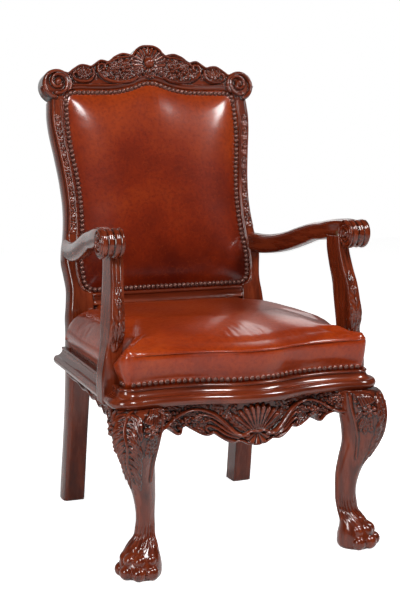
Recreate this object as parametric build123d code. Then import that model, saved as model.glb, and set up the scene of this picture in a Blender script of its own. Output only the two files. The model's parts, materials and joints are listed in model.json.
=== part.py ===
from build123d import *
import math
import os

# Carved open armchair with a leather seat and back, in millimetres.
# +X is to the right of someone who faces the chair, +Y runs from front to back, +Z is up.
# Pieces named left stand at -X. The origin is on the floor, under the middle of the whole chair.

os.makedirs("parts", exist_ok=True)

# Plan of the seat, on the line of the seat nails
SEAT_FRONT_WIDTH = 554.0
SEAT_REAR_WIDTH = 500.0
SEAT_FRONT_Y = -302.0
BOW = 36.0
DIP_SPACING = 380.0
BOW_RADIUS = 190.0
CORNER_RADIUS = 16.0

# Heights of the seat frame
APRON_TOP = 354.0
MOULDING_HEIGHT = 40.0
RAIL_TOP = 408.0
APRON_DEPTH = 95.0
SIDE_APRON_DEPTH = 56.0

# Seat rails, seat moulding and corner blocks
RAIL_THICKNESS = 26.0
BACK_RAIL_HEIGHT = 66.0
BACK_RAIL_SETBACK = 14.0
APRON_OUT = 21.0
SIDE_APRON_OUT = 12.0
MOULDING_OUT = 35.0
TENON_LENGTH = 22.0
TENON_THICKNESS = 12.0
TENON_HEIGHT = 40.0
FIT = 0.2
BLOCK_SIDE = 105.0
BLOCK_HEIGHT = 32.0
BLOCK_TOP = 378.0

# Front legs
LEG_POST = 52.0
FOOT_INSET_X = 15.0
FOOT_OUT_Y = 21.0
ANKLE_HEIGHT = 78.0
PAW_RADIUS = 43.0
TOE_REACH = 37.0
TOE_RADIUS = 15.5
KNUCKLE_RADIUS = 13.0

# Rear posts: a raked leg and a raked stile that meet in a bend at the seat
BEND_Y = 183.0
BEND_Z = 468.0
LEG_RAKE = 9.4
BACK_RAKE = 14.1
BEND_RADIUS = 500.0
POST_DEPTH = 50.0
POST_INNER_X = 196.0
POST_OUTER_X = 255.0
STILE_TOP = 988.0

# Back frame and its padding
FRAME_DEPTH = 40.0
LOWER_RAIL_BOTTOM = 498.0
LOWER_RAIL_HEIGHT = 52.0
OUTSIDE_REBATE = 13.0
PANEL_BOTTOM = 527.0
PANEL_TOP = 1012.0
REBATE_DEPTH = 6.0
BACK_CROWN = 24.0
BACK_BORDER = 12.0
EAR_RADIUS = 37.0
EAR_RELIEF = 6.0
CARTOUCHE_RADIUS = 26.0

# Arms and arm posts
ROLL_X = 286.0
ROLL_Y = -187.0
ROLL_Z = 687.0
ROLL_RADIUS = 32.0
ROLL_WIDTH = 52.0
ARM_FOOT_WIDTH = 40.0
ARM_FOOT_DEPTH = 46.0

# Leather, padding and their fixings
LEATHER = 2.5
SEAT_SWELL = 14.0
WELT_HEIGHT = 462.0
SEAT_CROWN = 492.0
SOFT_GAP = 0.4
SEAT_NAIL_DIAMETER = 11.0
SEAT_NAIL_PITCH = 13.0
BACK_NAIL_DIAMETER = 9.5
BACK_NAIL_PITCH = 11.5
BACK_NAIL_INSET = 8.5
NAIL_SHANK = 1.8
NAIL_LENGTH = 11.0
SPRING_WIRE = 3.6
SPRING_WIDTH = 48.0
SPRING_PITCH = 15.0
SPRING_COUNT = 5
SPRING_SPACING = 82.0
CLIP_WIDTH = 20.0
CLIP_THICKNESS = 1.5
HESSIAN = 1.2
WEB_WIDTH = 50.0
WEB_THICKNESS = 1.4
WEB_GAP = 75.0
WEB_BEARING = 2.0
SCREW_DIAMETER = 4.5
SCREW_HEAD_DIAMETER = 8.5
DOWEL_DIAMETER = 10.0
DOWEL_LENGTH = 36.0

# Worked out from the sizes above
LEG_ANGLE = math.radians(LEG_RAKE)
BACK_ANGLE = math.radians(BACK_RAKE)
BEND_SET = (math.sin(LEG_ANGLE) + math.sin(BACK_ANGLE)) / math.sin(LEG_ANGLE + BACK_ANGLE) - 1
POST_FRONT_Y = BEND_Y + BEND_RADIUS * BEND_SET
FRONT_HALF = SEAT_FRONT_WIDTH / 2
REAR_HALF = SEAT_REAR_WIDTH / 2
DIP_HALF = DIP_SPACING / 2
DIP_Y = SEAT_FRONT_Y + BOW
HOLLOW_RADIUS = (DIP_HALF**2 + BOW**2) / (2 * BOW) - BOW_RADIUS
HOLLOW_Y = DIP_Y - HOLLOW_RADIUS
CORNER_Y = HOLLOW_Y + math.sqrt(HOLLOW_RADIUS**2 - (FRONT_HALF - DIP_HALF) ** 2)
SIDE_LENGTH = math.hypot(REAR_HALF - FRONT_HALF, POST_FRONT_Y - CORNER_Y)
SIDE_NX = (POST_FRONT_Y - CORNER_Y) / SIDE_LENGTH
SIDE_NY = (FRONT_HALF - REAR_HALF) / SIDE_LENGTH
MOULDING_TOP = APRON_TOP + MOULDING_HEIGHT
RAIL_FACE = -LEATHER
RAIL_BACK = RAIL_FACE - RAIL_THICKNESS
LEG_IN_X = FRONT_HALF + RAIL_FACE - LEG_POST
LEG_REAR_Y = CORNER_Y - RAIL_FACE + LEG_POST
ARM_FOOT_Y = LEG_REAR_Y + ARM_FOOT_DEPTH / 2 + 1
BACK_RAIL_Y = POST_FRONT_Y + BACK_RAIL_SETBACK
SEAT_BACK_Y = BACK_RAIL_Y + RAIL_THICKNESS
NAIL_HEIGHT = MOULDING_TOP + SEAT_NAIL_DIAMETER / 2 + 0.5
SWELL_FROM = NAIL_HEIGHT + SEAT_NAIL_DIAMETER / 2 + 0.5
SPRING_Z = RAIL_TOP + CLIP_THICKNESS + SPRING_WIRE / 2
HESSIAN_Z = SPRING_Z + SPRING_WIRE / 2 + CLIP_THICKNESS
FOOT_X = FRONT_HALF - FOOT_INSET_X
FOOT_Y = CORNER_Y - FOOT_OUT_Y
BACK = Plane(
    origin=(0, BEND_Y, BEND_Z),
    x_dir=(1, 0, 0),
    z_dir=(0, -math.cos(BACK_ANGLE), math.sin(BACK_ANGLE)),
)
FAR = 1500.0


def side_x(y, out):
    """X of the right side of the seat plan at a given y, moved outward from the nail line."""
    return FRONT_HALF + (out - (y - CORNER_Y) * SIDE_NY) / SIDE_NX


def corner_point(out):
    """Where the right side of the plan meets the hollow of the front, moved outward."""
    slope = -SIDE_NY / SIDE_NX
    shift = side_x(0, out) - DIP_HALF
    radius = HOLLOW_RADIUS - out
    a = 1 + slope**2
    b = 2 * (slope * shift - HOLLOW_Y)
    c = shift**2 + HOLLOW_Y**2 - radius**2
    y = (-b + math.sqrt(b * b - 4 * a * c)) / (2 * a)
    return (side_x(y, out), y)


def inflection_point(out):
    """Where the right hollow of the front runs into the bow."""
    share = (BOW_RADIUS + out) / (BOW_RADIUS + HOLLOW_RADIUS)
    bow_centre = SEAT_FRONT_Y + BOW_RADIUS
    return (DIP_HALF * share, bow_centre + (HOLLOW_Y - bow_centre) * share)


def flip(point):
    """The same plan point on the other side of the chair."""
    return (-point[0], point[1])


def plan_edges(out, rear_y):
    """Open outline of the seat, from the right rear, round the front, to the left rear."""
    rear = (side_x(rear_y, out), rear_y)
    corner = corner_point(out)
    turn = inflection_point(out)
    dip = (DIP_HALF, DIP_Y - out)
    front = (0, SEAT_FRONT_Y - out)
    return [
        Line(rear, corner),
        ThreePointArc(corner, dip, turn),
        ThreePointArc(turn, front, flip(turn)),
        ThreePointArc(flip(turn), flip(dip), flip(corner)),
        Line(flip(corner), flip(rear)),
    ]


def at_corners(shape, out):
    """The two front corner vertices of a seat outline."""
    corner = corner_point(out)
    return [v for v in shape.vertices() if math.hypot(abs(v.X) - corner[0], v.Y - corner[1]) < 0.01]


def plan_face(out, rear_y):
    """Closed seat outline with rounded front corners."""
    rear = (side_x(rear_y, out), rear_y)
    face = make_face(plan_edges(out, rear_y) + [Line(flip(rear), rear)]).face()
    if CORNER_RADIUS + out <= 0:
        return face
    return face.fillet_2d(CORNER_RADIUS + out, at_corners(face, out))


def slab(face, low, high):
    """A flat outline raised from one height to another."""
    return extrude(Pos(0, 0, low) * face, high - low, dir=(0, 0, 1))


def block(x0, x1, y0, y1, z0, z1):
    """A box between two corners."""
    middle = Pos((x0 + x1) / 2, (y0 + y1) / 2, (z0 + z1) / 2)
    return middle * Box(abs(x1 - x0), abs(y1 - y0), abs(z1 - z0))


def other_side(shape):
    """The mirrored twin of a right-hand piece."""
    return mirror(shape, about=Plane.YZ)


def up(z):
    """Distance along the raked back from the bend to a given height."""
    return (z - BEND_Z) / math.cos(BACK_ANGLE)


def back_face(z):
    """Y of the front face of the raked back at a given height."""
    return BEND_Y + (z - BEND_Z) * math.tan(BACK_ANGLE)


def leg_face(z):
    """Y of the front face of the raked rear leg at a given height."""
    return BEND_Y + (BEND_Z - z) * math.tan(LEG_ANGLE)


# Rear posts
def rear_post(grow):
    """Right rear post: its side profile and its front outline, crossed. Grow adds clearance."""
    top = STILE_TOP + POST_DEPTH
    front = FilletPolyline(
        (leg_face(0) - grow, 0),
        (BEND_Y - grow, BEND_Z),
        (back_face(top) - grow, top),
        radius=BEND_RADIUS,
    )
    rear = FilletPolyline(
        (back_face(top) + POST_DEPTH + grow, top),
        (BEND_Y + POST_DEPTH + grow, BEND_Z),
        (leg_face(0) + POST_DEPTH + grow, 0),
        radius=BEND_RADIUS,
    )
    side = make_face([front, Line(front @ 1, rear @ 0), rear, Line(rear @ 1, front @ 0)])
    outer = POST_OUTER_X + grow
    shoulder = outer + 6
    waist = outer - 8
    knee = ThreePointArc((outer, APRON_TOP - 90), (outer + 2, APRON_TOP - 45), (shoulder, APRON_TOP - 14))
    step = Line((shoulder, APRON_TOP - 14), (waist, APRON_TOP))
    flank = Line((waist, APRON_TOP), (waist, RAIL_TOP + 4))
    stile = Spline(
        (waist, RAIL_TOP + 4),
        (outer - 15, LOWER_RAIL_BOTTOM + 16),
        (outer - 3, LOWER_RAIL_BOTTOM + 110),
        (outer - 19, LOWER_RAIL_BOTTOM + 244),
        (outer - 9, STILE_TOP - 128),
        (outer - 1, STILE_TOP - 48),
        (outer - 4, top),
        tangents=[(0, 1), (0, 1)],
    )
    inner = POST_INNER_X - grow
    outline = make_face(
        [Line((outer, 0), knee @ 0), knee, step, flank, stile]
        + [Line(stile @ 1, (inner, top)), Line((inner, top), (inner, 0)), Line((inner, 0), (outer, 0))]
    )
    raw = extrude(Plane.YZ * side, FAR, dir=(1, 0, 0)) & extrude(Plane.XZ * outline, FAR, both=True)
    above = BACK * Pos(0, up(STILE_TOP) + FAR / 2, 0) * Box(FAR, FAR, FAR)
    return raw - above


# Back frame
def panel_point(x, z, across, along, inset):
    """A point of the padded panel's edge, drawn in against its outward direction."""
    return (x - inset * across, up(z) - inset * along)


def panel_edges(inset):
    """Right half of the padded panel's outline, from bottom middle to top middle."""
    low, high = PANEL_BOTTOM, PANEL_TOP
    slant = math.sqrt(0.5)
    stretches = [
        ((0, low, 0, -1), (95, low, 0, -1), (190, low, 0, -1)),
        ((190, low, 0, -1), (213, low + 10, slant, -slant), (222, low + 33, 1, 0)),
        ((222, low + 33, 1, 0), (225, low + 70, 1, 0), (219, low + 118, 1, 0)),
        ((219, low + 118, 1, 0), (214, low + 208, 1, 0), (221, high - 182, 1, 0)),
        ((221, high - 182, 1, 0), (230, high - 97, 1, 0), (229, high - 32, 1, 0)),
        ((229, high - 32, 1, 0), (220, high - 8, slant, slant), (195, high, 0, 1)),
        ((195, high, 0, 1), (150, high, 0, 1), (105, high + 1, 0, 1)),
        ((105, high + 1, 0, 1), (65, high + 6.5, 0, 1), (28, high + 18.5, 0, 1)),
        ((28, high + 18.5, 0, 1), (14.5, high + 22.6, 0, 1), (0, high + 24, 0, 1)),
    ]
    edges = []
    for stretch in stretches:
        start, middle, end = [panel_point(*corner, inset) for corner in stretch]
        straight = abs(middle[1] - start[1]) + abs(end[1] - start[1]) < 0.001
        edges.append(Line(start, end) if straight else ThreePointArc(start, middle, end))
    return edges


def panel_face(inset):
    """The padded panel's outline, drawn in by an inset, in the plane of the back."""
    right = panel_edges(inset)
    left = [mirror(edge, about=Plane.YZ) for edge in right]
    return make_face(right + left).face()


def rebate():
    """The shallow seat that the panel's leather edge lies in."""
    return BACK * extrude(panel_face(0), 2 * REBATE_DEPTH, both=True) - BACK * Pos(
        0, 0, -REBATE_DEPTH - FAR / 2
    ) * Box(FAR, FAR * 2, FAR)


def crest_rail():
    """Scalloped crest with a ball cartouche and scroll ears."""
    ear_x, ear_z = 240, 1022
    scallops = [
        ((0, 1121), (26, 1117), (44, 1097)),
        ((44, 1097), (67, 1100), (109, 1080)),
        ((109, 1080), (126, 1083), (152, 1068)),
        ((152, 1068), (178, 1071), (215, 1052)),
        ((215, 1052), (ear_x + EAR_RADIUS, ear_z), (254, STILE_TOP)),
    ]
    right = [ThreePointArc(*[(x, up(z)) for x, z in points]) for points in scallops]
    left = [mirror(edge, about=Plane.YZ) for edge in right]
    foot = Line((254, up(STILE_TOP)), (-254, up(STILE_TOP)))
    crest = extrude(make_face(right + left + [foot]), -FRAME_DEPTH)
    ear = Pos(ear_x, up(ear_z), EAR_RELIEF / 2) * Cylinder(EAR_RADIUS - 6, EAR_RELIEF)
    ball = Pos(0, up(1077), 0) * Sphere(CARTOUCHE_RADIUS)
    ball = ball & Pos(0, up(1077), FAR / 2) * Box(FAR, FAR, FAR)
    return BACK * (crest + ear + other_side(ear) + ball)


def lower_back_rail():
    """Rail under the padded back, tenoned into both posts."""
    low = up(LOWER_RAIL_BOTTOM)
    rail = block(-POST_INNER_X, POST_INNER_X, low, low + LOWER_RAIL_HEIGHT, -FRAME_DEPTH, 0)
    reach = POST_INNER_X + TENON_LENGTH
    return BACK * (rail + lower_rail_tenon(reach, 0))


def lower_rail_tenon(reach, grow):
    """Tenon bar of the lower back rail, in the plane of the back."""
    middle = up(LOWER_RAIL_BOTTOM) + LOWER_RAIL_HEIGHT / 2
    half = TENON_HEIGHT / 4 + grow
    deep = -FRAME_DEPTH / 2 - 4
    thick = TENON_THICKNESS / 2 + grow
    return block(-reach, reach, middle - half, middle + half, deep - thick, deep + thick)


# Seat frame
def front_rail(leg):
    """Serpentine front rail, scribed to the knees, with the carved apron's outline and tenons."""
    band = plan_face(APRON_OUT, POST_FRONT_Y) - plan_face(RAIL_BACK, POST_FRONT_Y)
    upper = plan_face(RAIL_FACE, POST_FRONT_Y) - plan_face(RAIL_BACK, POST_FRONT_Y)
    between = block(-LEG_IN_X, LEG_IN_X, -FAR, LEG_REAR_Y, 0, FAR)
    low = APRON_TOP - APRON_DEPTH
    rail = slab(band, low, APRON_TOP) + slab(upper, APRON_TOP, RAIL_TOP)
    lobes = [
        ((0, low), (11, low), (22, low + 2)),
        ((22, low + 2), (29, low + 14), (37, low + 17)),
        ((37, low + 17), (60, low + 8), (90, low + 28)),
        ((90, low + 28), (113, low + 23), (140, low + 46)),
        ((140, low + 46), (158, low + 27), (180, low + 40)),
        ((180, low + 40), (200, low + 44), (LEG_IN_X, low + 25)),
    ]
    right = [ThreePointArc(*points) for points in lobes]
    left = [mirror(edge, about=Plane.YZ) for edge in right]
    ends = [
        Line((LEG_IN_X, low + 25), (LEG_IN_X, RAIL_TOP)),
        Line((LEG_IN_X, RAIL_TOP), (-LEG_IN_X, RAIL_TOP)),
        Line((-LEG_IN_X, RAIL_TOP), (-LEG_IN_X, low + 25)),
    ]
    outline = Plane.XZ * make_face(right + ends + left)
    rail = rail & between & extrude(outline, FAR, both=True)
    rail = rail - leg - other_side(leg)
    return rail + front_tenon(0) + other_side(front_tenon(0))


def front_tenon(grow):
    """Right tenon of the front rail, in line with the leg's front face."""
    y = CORNER_Y + LEATHER + LEG_POST / 3
    z = RAIL_TOP - TENON_HEIGHT
    half = TENON_THICKNESS / 2 + grow
    return block(
        LEG_IN_X - TENON_LENGTH / 2,
        LEG_IN_X + TENON_LENGTH + grow,
        y - half,
        y + half,
        z - TENON_HEIGHT / 2 - grow,
        z + TENON_HEIGHT / 2 + grow,
    )


def side_tenon(y_from, y_to, grow):
    """One tenon of the right side rail, along the rail's own direction."""
    z = RAIL_TOP - TENON_HEIGHT
    middle = RAIL_FACE - RAIL_THICKNESS / 2
    half = TENON_THICKNESS / 2 + grow
    corners = [
        (side_x(y_from, middle - half), y_from),
        (side_x(y_from, middle + half), y_from),
        (side_x(y_to, middle + half), y_to),
        (side_x(y_to, middle - half), y_to),
    ]
    face = make_face(Polyline(*corners, close=True))
    return slab(face, z - TENON_HEIGHT / 2 - grow, z + TENON_HEIGHT / 2 + grow)


def side_band(inner, outer, y_from, y_to):
    """Flat strip along the right side of the seat plan."""
    corners = [
        (side_x(y_from, inner), y_from),
        (side_x(y_from, outer), y_from),
        (side_x(y_to, outer), y_to),
        (side_x(y_to, inner), y_to),
    ]
    return make_face(Polyline(*corners, close=True))


def side_rail(post):
    """Right side rail, from the front leg to the rear post, with its small apron."""
    end = POST_FRONT_Y + POST_DEPTH / 2
    upper = slab(side_band(RAIL_BACK, RAIL_FACE, LEG_REAR_Y, end), APRON_TOP, RAIL_TOP)
    low = APRON_TOP - SIDE_APRON_DEPTH
    lower = slab(side_band(RAIL_BACK, SIDE_APRON_OUT, LEG_REAR_Y, end), low, APRON_TOP)
    span = POST_FRONT_Y - LEG_REAR_Y
    points = [
        ((0, low), (span * 0.14, low + 12), (span * 0.28, low + 10)),
        ((span * 0.28, low + 10), (span * 0.42, low + 26), (span * 0.58, low + 24)),
        ((span * 0.58, low + 24), (span * 0.8, low + 34), (span * 1.3, low + 36)),
    ]
    arcs = [ThreePointArc(*[(LEG_REAR_Y + y, z) for y, z in trio]) for trio in points]
    far_end = arcs[-1] @ 1
    frame = [
        Line(far_end, (far_end.X, RAIL_TOP)),
        Line((far_end.X, RAIL_TOP), (LEG_REAR_Y, RAIL_TOP)),
        Line((LEG_REAR_Y, RAIL_TOP), (LEG_REAR_Y, low)),
    ]
    outline = Plane.YZ * make_face(arcs + frame)
    rail = (upper + lower) & extrude(outline, FAR, both=True)
    rail = rail - post
    front_end = side_tenon(LEG_REAR_Y - TENON_LENGTH, LEG_REAR_Y + TENON_LENGTH / 2, 0)
    return rail + front_end


def back_seat_rail():
    """Rail between the rear posts that carries the back of the seat, with a tenon at each end."""
    low = RAIL_TOP - BACK_RAIL_HEIGHT
    rail = block(-POST_INNER_X, POST_INNER_X, BACK_RAIL_Y, SEAT_BACK_Y, low, RAIL_TOP)
    return rail + back_tenon(POST_INNER_X + TENON_LENGTH, 0)


def back_tenon(reach, grow):
    """Tenon bar of the back seat rail."""
    y = BACK_RAIL_Y + RAIL_THICKNESS / 2
    z = RAIL_TOP - BACK_RAIL_HEIGHT / 2
    half = TENON_THICKNESS / 2 + grow
    high = TENON_HEIGHT / 2 + grow
    return block(-reach, reach, y - half, y + half, z - high, z + high)


def moulding_profile():
    """Section of the seat moulding: flat base, round nose, hollow and a small top bead."""
    base, top, nose = APRON_TOP, MOULDING_TOP, MOULDING_OUT
    edges = [
        Line((RAIL_FACE, base), (nose - 5, base)),
        ThreePointArc((nose - 5, base), (nose, base + 10), (nose - 6, base + 20)),
        Line((nose - 6, base + 20), (nose - 9, base + 20)),
        ThreePointArc((nose - 9, base + 20), (nose - 18, base + 25), (nose - 22, base + 34)),
        ThreePointArc((nose - 22, base + 34), (nose - 20, base + 37), (nose - 22, top)),
        Line((nose - 22, top), (RAIL_FACE, top)),
        Line((RAIL_FACE, top), (RAIL_FACE, base)),
    ]
    return make_face(edges)


def front_moulding():
    """Moulding across the front that turns both corners and ends at the arm posts."""
    wire = Wire(plan_edges(0, ARM_FOOT_Y))
    wire = wire.fillet_2d(CORNER_RADIUS, at_corners(wire, 0))
    start = wire @ 0
    along = wire % 0
    section_plane = Plane(
        origin=(start.X, start.Y, 0), x_dir=(-along.Y, along.X, 0), z_dir=(along.X, along.Y, 0)
    )
    piece = sweep(section_plane * moulding_profile(), path=wire)
    return piece & block(-FAR, FAR, -FAR, ARM_FOOT_Y - ARM_FOOT_DEPTH / 2, 0, FAR)


def side_moulding(post):
    """Moulding along the right side, from the arm post's foot to the back of the rear post."""
    start = (side_x(ARM_FOOT_Y, 0), ARM_FOOT_Y, 0)
    section_plane = Plane(origin=start, x_dir=(SIDE_NX, SIDE_NY, 0), z_dir=(SIDE_NY, -SIDE_NX, 0))
    piece = extrude(section_plane * moulding_profile(), -(POST_FRONT_Y + POST_DEPTH - ARM_FOOT_Y))
    return (piece & block(0, FAR, ARM_FOOT_Y + ARM_FOOT_DEPTH / 2, FAR, 0, FAR)) - post


# Front legs
def leg_section(z, outer, inner, half_width):
    """Rounded section of the leg across its diagonal, outer and inner measured from the foot's middle."""
    depth = outer - inner
    radius = 0.42 * min(depth, 2 * half_width)
    middle = (outer + inner) / 2 * math.sqrt(0.5)
    turn = Pos(FOOT_X + middle, FOOT_Y - middle, z) * Rot(0, 0, -45)
    return (turn * RectangleRounded(depth, 2 * half_width, radius)).face()


def front_leg():
    """Right front leg: square top post, cabriole knee and ankle, and a paw foot."""
    corner = plan_face(RAIL_FACE, POST_FRONT_Y)
    post = slab(corner, APRON_TOP - APRON_DEPTH + 30, RAIL_TOP)
    post = post & block(LEG_IN_X, FAR, -FAR, LEG_REAR_Y, 0, FAR)
    stations = [
        (APRON_TOP, 32, -50, 46),
        (330, 43, -50, 47),
        (300, 50, -50, 45),
        (268, 47, -46, 39),
        (235, 34, -45, 31),
        (200, 14, -52, 26),
        (165, -3, -58, 21.5),
        (130, -11, -59, 18.5),
        (100, -11, -56, 18),
        (ANKLE_HEIGHT, -5, -50, 22),
    ]
    knee = loft([leg_section(*station) for station in stations])
    leg = post + knee + paw()
    return leg - block(-FAR, FAR, -FAR, FAR, -FAR, 0)


def paw():
    """Right paw: a rounded pad with four toes and their knuckles, facing the diagonal."""
    pad = loft(
        [
            leg_section(ANKLE_HEIGHT, -5, -50, 22),
            leg_section(55, 14, -45, 32),
            leg_section(28, PAW_RADIUS - 6, -PAW_RADIUS - 4, PAW_RADIUS - 3),
            leg_section(0, PAW_RADIUS - 8, -PAW_RADIUS, PAW_RADIUS - 6),
        ]
    )
    for turn in (-57, -19, 19, 57):
        angle = math.radians(turn - 45)
        ahead = (math.cos(angle), math.sin(angle))
        toe_x = FOOT_X + TOE_REACH * ahead[0]
        toe_y = FOOT_Y + TOE_REACH * ahead[1]
        pad = pad + Pos(toe_x, toe_y, TOE_RADIUS + 2) * Sphere(TOE_RADIUS)
        knuckle_x = FOOT_X + (TOE_REACH - 8) * ahead[0]
        knuckle_y = FOOT_Y + (TOE_REACH - 8) * ahead[1]
        pad = pad + Pos(knuckle_x, knuckle_y, TOE_RADIUS + 26) * Sphere(KNUCKLE_RADIUS)
    return pad


# Arms
def arm():
    """Right arm: a swept bar that rises forward into a rolled scroll end."""
    root_z = ROLL_Z - 49
    stations = [
        (back_face(root_z) + 20, root_z, 238, 32, 52),
        (117, root_z - 1, 256, 34, 46),
        (0, root_z + 29, 269, 36, 44),
        (-87, root_z + 50, 277, 40, 39),
        (-150, root_z + 63, 283, 46, 34),
        (ROLL_Y, ROLL_Z + ROLL_RADIUS - 16, ROLL_X, ROLL_WIDTH - 2, 30),
    ]
    sections = []
    for y, z, x, width, height in stations:
        at = Plane(origin=(x, y, z), x_dir=(1, 0, 0), z_dir=(0, -1, 0))
        sections.append((at * RectangleRounded(width, height, 12)).face())
    bar = loft(sections)
    roll = Pos(ROLL_X, ROLL_Y, ROLL_Z) * Rot(0, 90, 0) * Cylinder(ROLL_RADIUS, ROLL_WIDTH)
    behind = BACK * Pos(0, 0, -FAR / 2) * Box(FAR, FAR * 2, FAR)
    return bar + roll - behind


def arm_post(grow):
    """Right arm post, shallowly curved, from the seat frame up into the arm's roll."""
    foot_x = side_x(ARM_FOOT_Y, RAIL_FACE + ARM_FOOT_WIDTH / 2)
    stations = [
        (ROLL_Z, ROLL_X - 19, ROLL_Y + 24, 28, 54),
        (ROLL_Z - 32, ROLL_X - 19, ROLL_Y + 22, 28, 60),
        (ROLL_Z - 112, ROLL_X - 11, ROLL_Y + 1, 29, 73),
        (ROLL_Z - 172, ROLL_X - 7, ROLL_Y - 8, 33, 74),
        (ROLL_Z - 212, ROLL_X - 5, ROLL_Y - 7, 35, 54),
        (SWELL_FROM + 8, foot_x, ARM_FOOT_Y, ARM_FOOT_WIDTH, ARM_FOOT_DEPTH),
    ]
    sections = []
    for z, x, y, width, depth in stations:
        outline = RectangleRounded(width + 2 * grow, depth + 2 * grow, 8 + grow)
        sections.append((Pos(x, y, z) * outline).face())
    foot = slab(sections[-1], 0, APRON_TOP - SWELL_FROM - 8)
    return loft(sections) + foot


# Fixings inside the frame
def screw(length):
    """Pan-head wood screw along +Z, with the underside of its head at the origin."""
    head = Pos(0, 0, -1.5) * Cylinder(SCREW_HEAD_DIAMETER / 2, 3)
    return head + Pos(0, 0, length / 2) * Cylinder(SCREW_DIAMETER / 2, length)


def front_block(leg, rail_front, rail_side):
    """Right front corner block, scribed to the leg and both rails."""
    x = side_x(CORNER_Y, RAIL_BACK) + 6
    y = CORNER_Y - RAIL_BACK - 6
    face = make_face(Polyline((x, y), (x, y + BLOCK_SIDE), (x - BLOCK_SIDE, y), close=True))
    return slab(face, BLOCK_TOP - BLOCK_HEIGHT, BLOCK_TOP) - leg - rail_front - rail_side


def rear_block(post, rail_side, rail_back):
    """Right rear corner block, scribed to the post and both rails."""
    x = side_x(POST_FRONT_Y, RAIL_BACK) + 6
    y = BACK_RAIL_Y + 6
    face = make_face(Polyline((x, y), (x, y - BLOCK_SIDE), (x - BLOCK_SIDE, y), close=True))
    return slab(face, BLOCK_TOP - BLOCK_HEIGHT, BLOCK_TOP) - post - rail_side - rail_back


def block_screw(front):
    """Screw through a right corner block into the leg or post behind it."""
    if front:
        x = side_x(CORNER_Y, RAIL_BACK) + 6
        y = CORNER_Y - RAIL_BACK - 6 + BLOCK_SIDE / 2
        into = (1, -1, 0)
    else:
        x = side_x(POST_FRONT_Y, RAIL_BACK) + 6
        y = BACK_RAIL_Y + 6 - BLOCK_SIDE / 2
        into = (1, 1, 0)
    seat = Plane(origin=(x - BLOCK_SIDE / 2, y, BLOCK_TOP - BLOCK_HEIGHT / 2), z_dir=into)
    return seat * screw(BLOCK_SIDE * 0.6)


def arm_post_screws():
    """Two screws from inside the right side rail into the arm post's foot."""
    x = side_x(ARM_FOOT_Y, RAIL_BACK)
    heights = [BLOCK_TOP + 7, RAIL_TOP - 7]
    return [
        Plane(origin=(x, ARM_FOOT_Y, z), z_dir=(SIDE_NX, SIDE_NY, 0)) * screw(RAIL_THICKNESS + 22)
        for z in heights
    ]


def arm_screw():
    """Screw from a counterbore in the back of the right post into the arm's root."""
    z = ROLL_Z - 49
    depth = POST_DEPTH * math.cos(BACK_ANGLE)
    seat = BACK * Plane(origin=(POST_OUTER_X - 17, up(z), 4 - depth), z_dir=(0, 0, 1))
    return seat * screw(depth + 26)


def arm_dowel():
    """Dowel that pins the right arm post into the underside of the arm's roll."""
    top = ROLL_Z - ROLL_RADIUS + DOWEL_LENGTH / 2
    return Pos(ROLL_X - 19, ROLL_Y + 20, top) * Cylinder(DOWEL_DIAMETER / 2, DOWEL_LENGTH)


def crest_dowel():
    """Dowel between the right post's top and the crest."""
    x = (POST_INNER_X + POST_OUTER_X) / 2
    stand = Pos(x, up(STILE_TOP), -FRAME_DEPTH / 2) * Rot(90, 0, 0)
    return BACK * stand * Cylinder(DOWEL_DIAMETER / 2, DOWEL_LENGTH)


# Seat suspension
def front_y(x, out):
    """Y of the serpentine front at a given x, moved outward from the nail line."""
    if abs(x) < inflection_point(out)[0]:
        return SEAT_FRONT_Y + BOW_RADIUS - math.sqrt((BOW_RADIUS + out) ** 2 - x * x)
    return HOLLOW_Y + math.sqrt((HOLLOW_RADIUS - out) ** 2 - (abs(x) - DIP_HALF) ** 2)


def spring_places():
    """X, first bar's Y and last bar's Y of each sinuous spring."""
    middle = (SPRING_COUNT - 1) / 2
    places = []
    for i in range(SPRING_COUNT):
        x = (i - middle) * SPRING_SPACING
        start = front_y(x, RAIL_FACE - RAIL_THICKNESS / 2)
        places.append((x, start, BACK_RAIL_Y + RAIL_THICKNESS / 2))
    return places


def seat_spring(x, start, end):
    """One zigzag spring of round wire, straight bars joined by half turns."""
    bars = max(2, round((end - start) / SPRING_PITCH))
    pitch = (end - start) / bars
    half = SPRING_WIDTH / 2 - pitch / 2
    edges = []
    side = 1
    for i in range(bars + 1):
        y = start + i * pitch
        edges.append(Line((x - side * half, y), (x + side * half, y)))
        if i < bars:
            out = x + side * (half + pitch / 2)
            edges.append(ThreePointArc((x + side * half, y), (out, y + pitch / 2), (x + side * half, y + pitch)))
        side = -side
    path = Pos(0, 0, SPRING_Z) * Wire(edges)
    section = Plane(origin=path @ 0, z_dir=path % 0) * Circle(SPRING_WIRE / 2)
    return sweep(section, path=path)


def spring_clip(x, y, toward):
    """Folded clip on a rail's top that holds a spring's last bar. It opens toward the seat's middle."""
    height = SPRING_WIRE + 2 * CLIP_THICKNESS
    length = SPRING_PITCH
    body = Pos(x, y - toward * (length / 2 - SPRING_WIRE), RAIL_TOP + height / 2) * Box(CLIP_WIDTH, length, height)
    slot = Pos(x, y + toward * (length / 2 - SPRING_WIRE / 2), SPRING_Z) * Box(CLIP_WIDTH, length, SPRING_WIRE)
    return body - slot


# Padding and leather of the seat
def scaled_plan(face, share, z):
    """A seat outline drawn in toward the seat's middle, at a height."""
    middle = (0, (SEAT_FRONT_Y + POST_FRONT_Y) / 2, 0)
    return Pos(0, 0, z) * scale(face, by=share, about=middle).face()


def crown_steps():
    """Shares of an outline and of the rise that draw a padded crown, steep at its edge."""
    shares = (1.0, 0.97, 0.9, 0.78, 0.6, 0.35)
    return [(share, math.sqrt(1 - share**3)) for share in shares]


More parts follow.
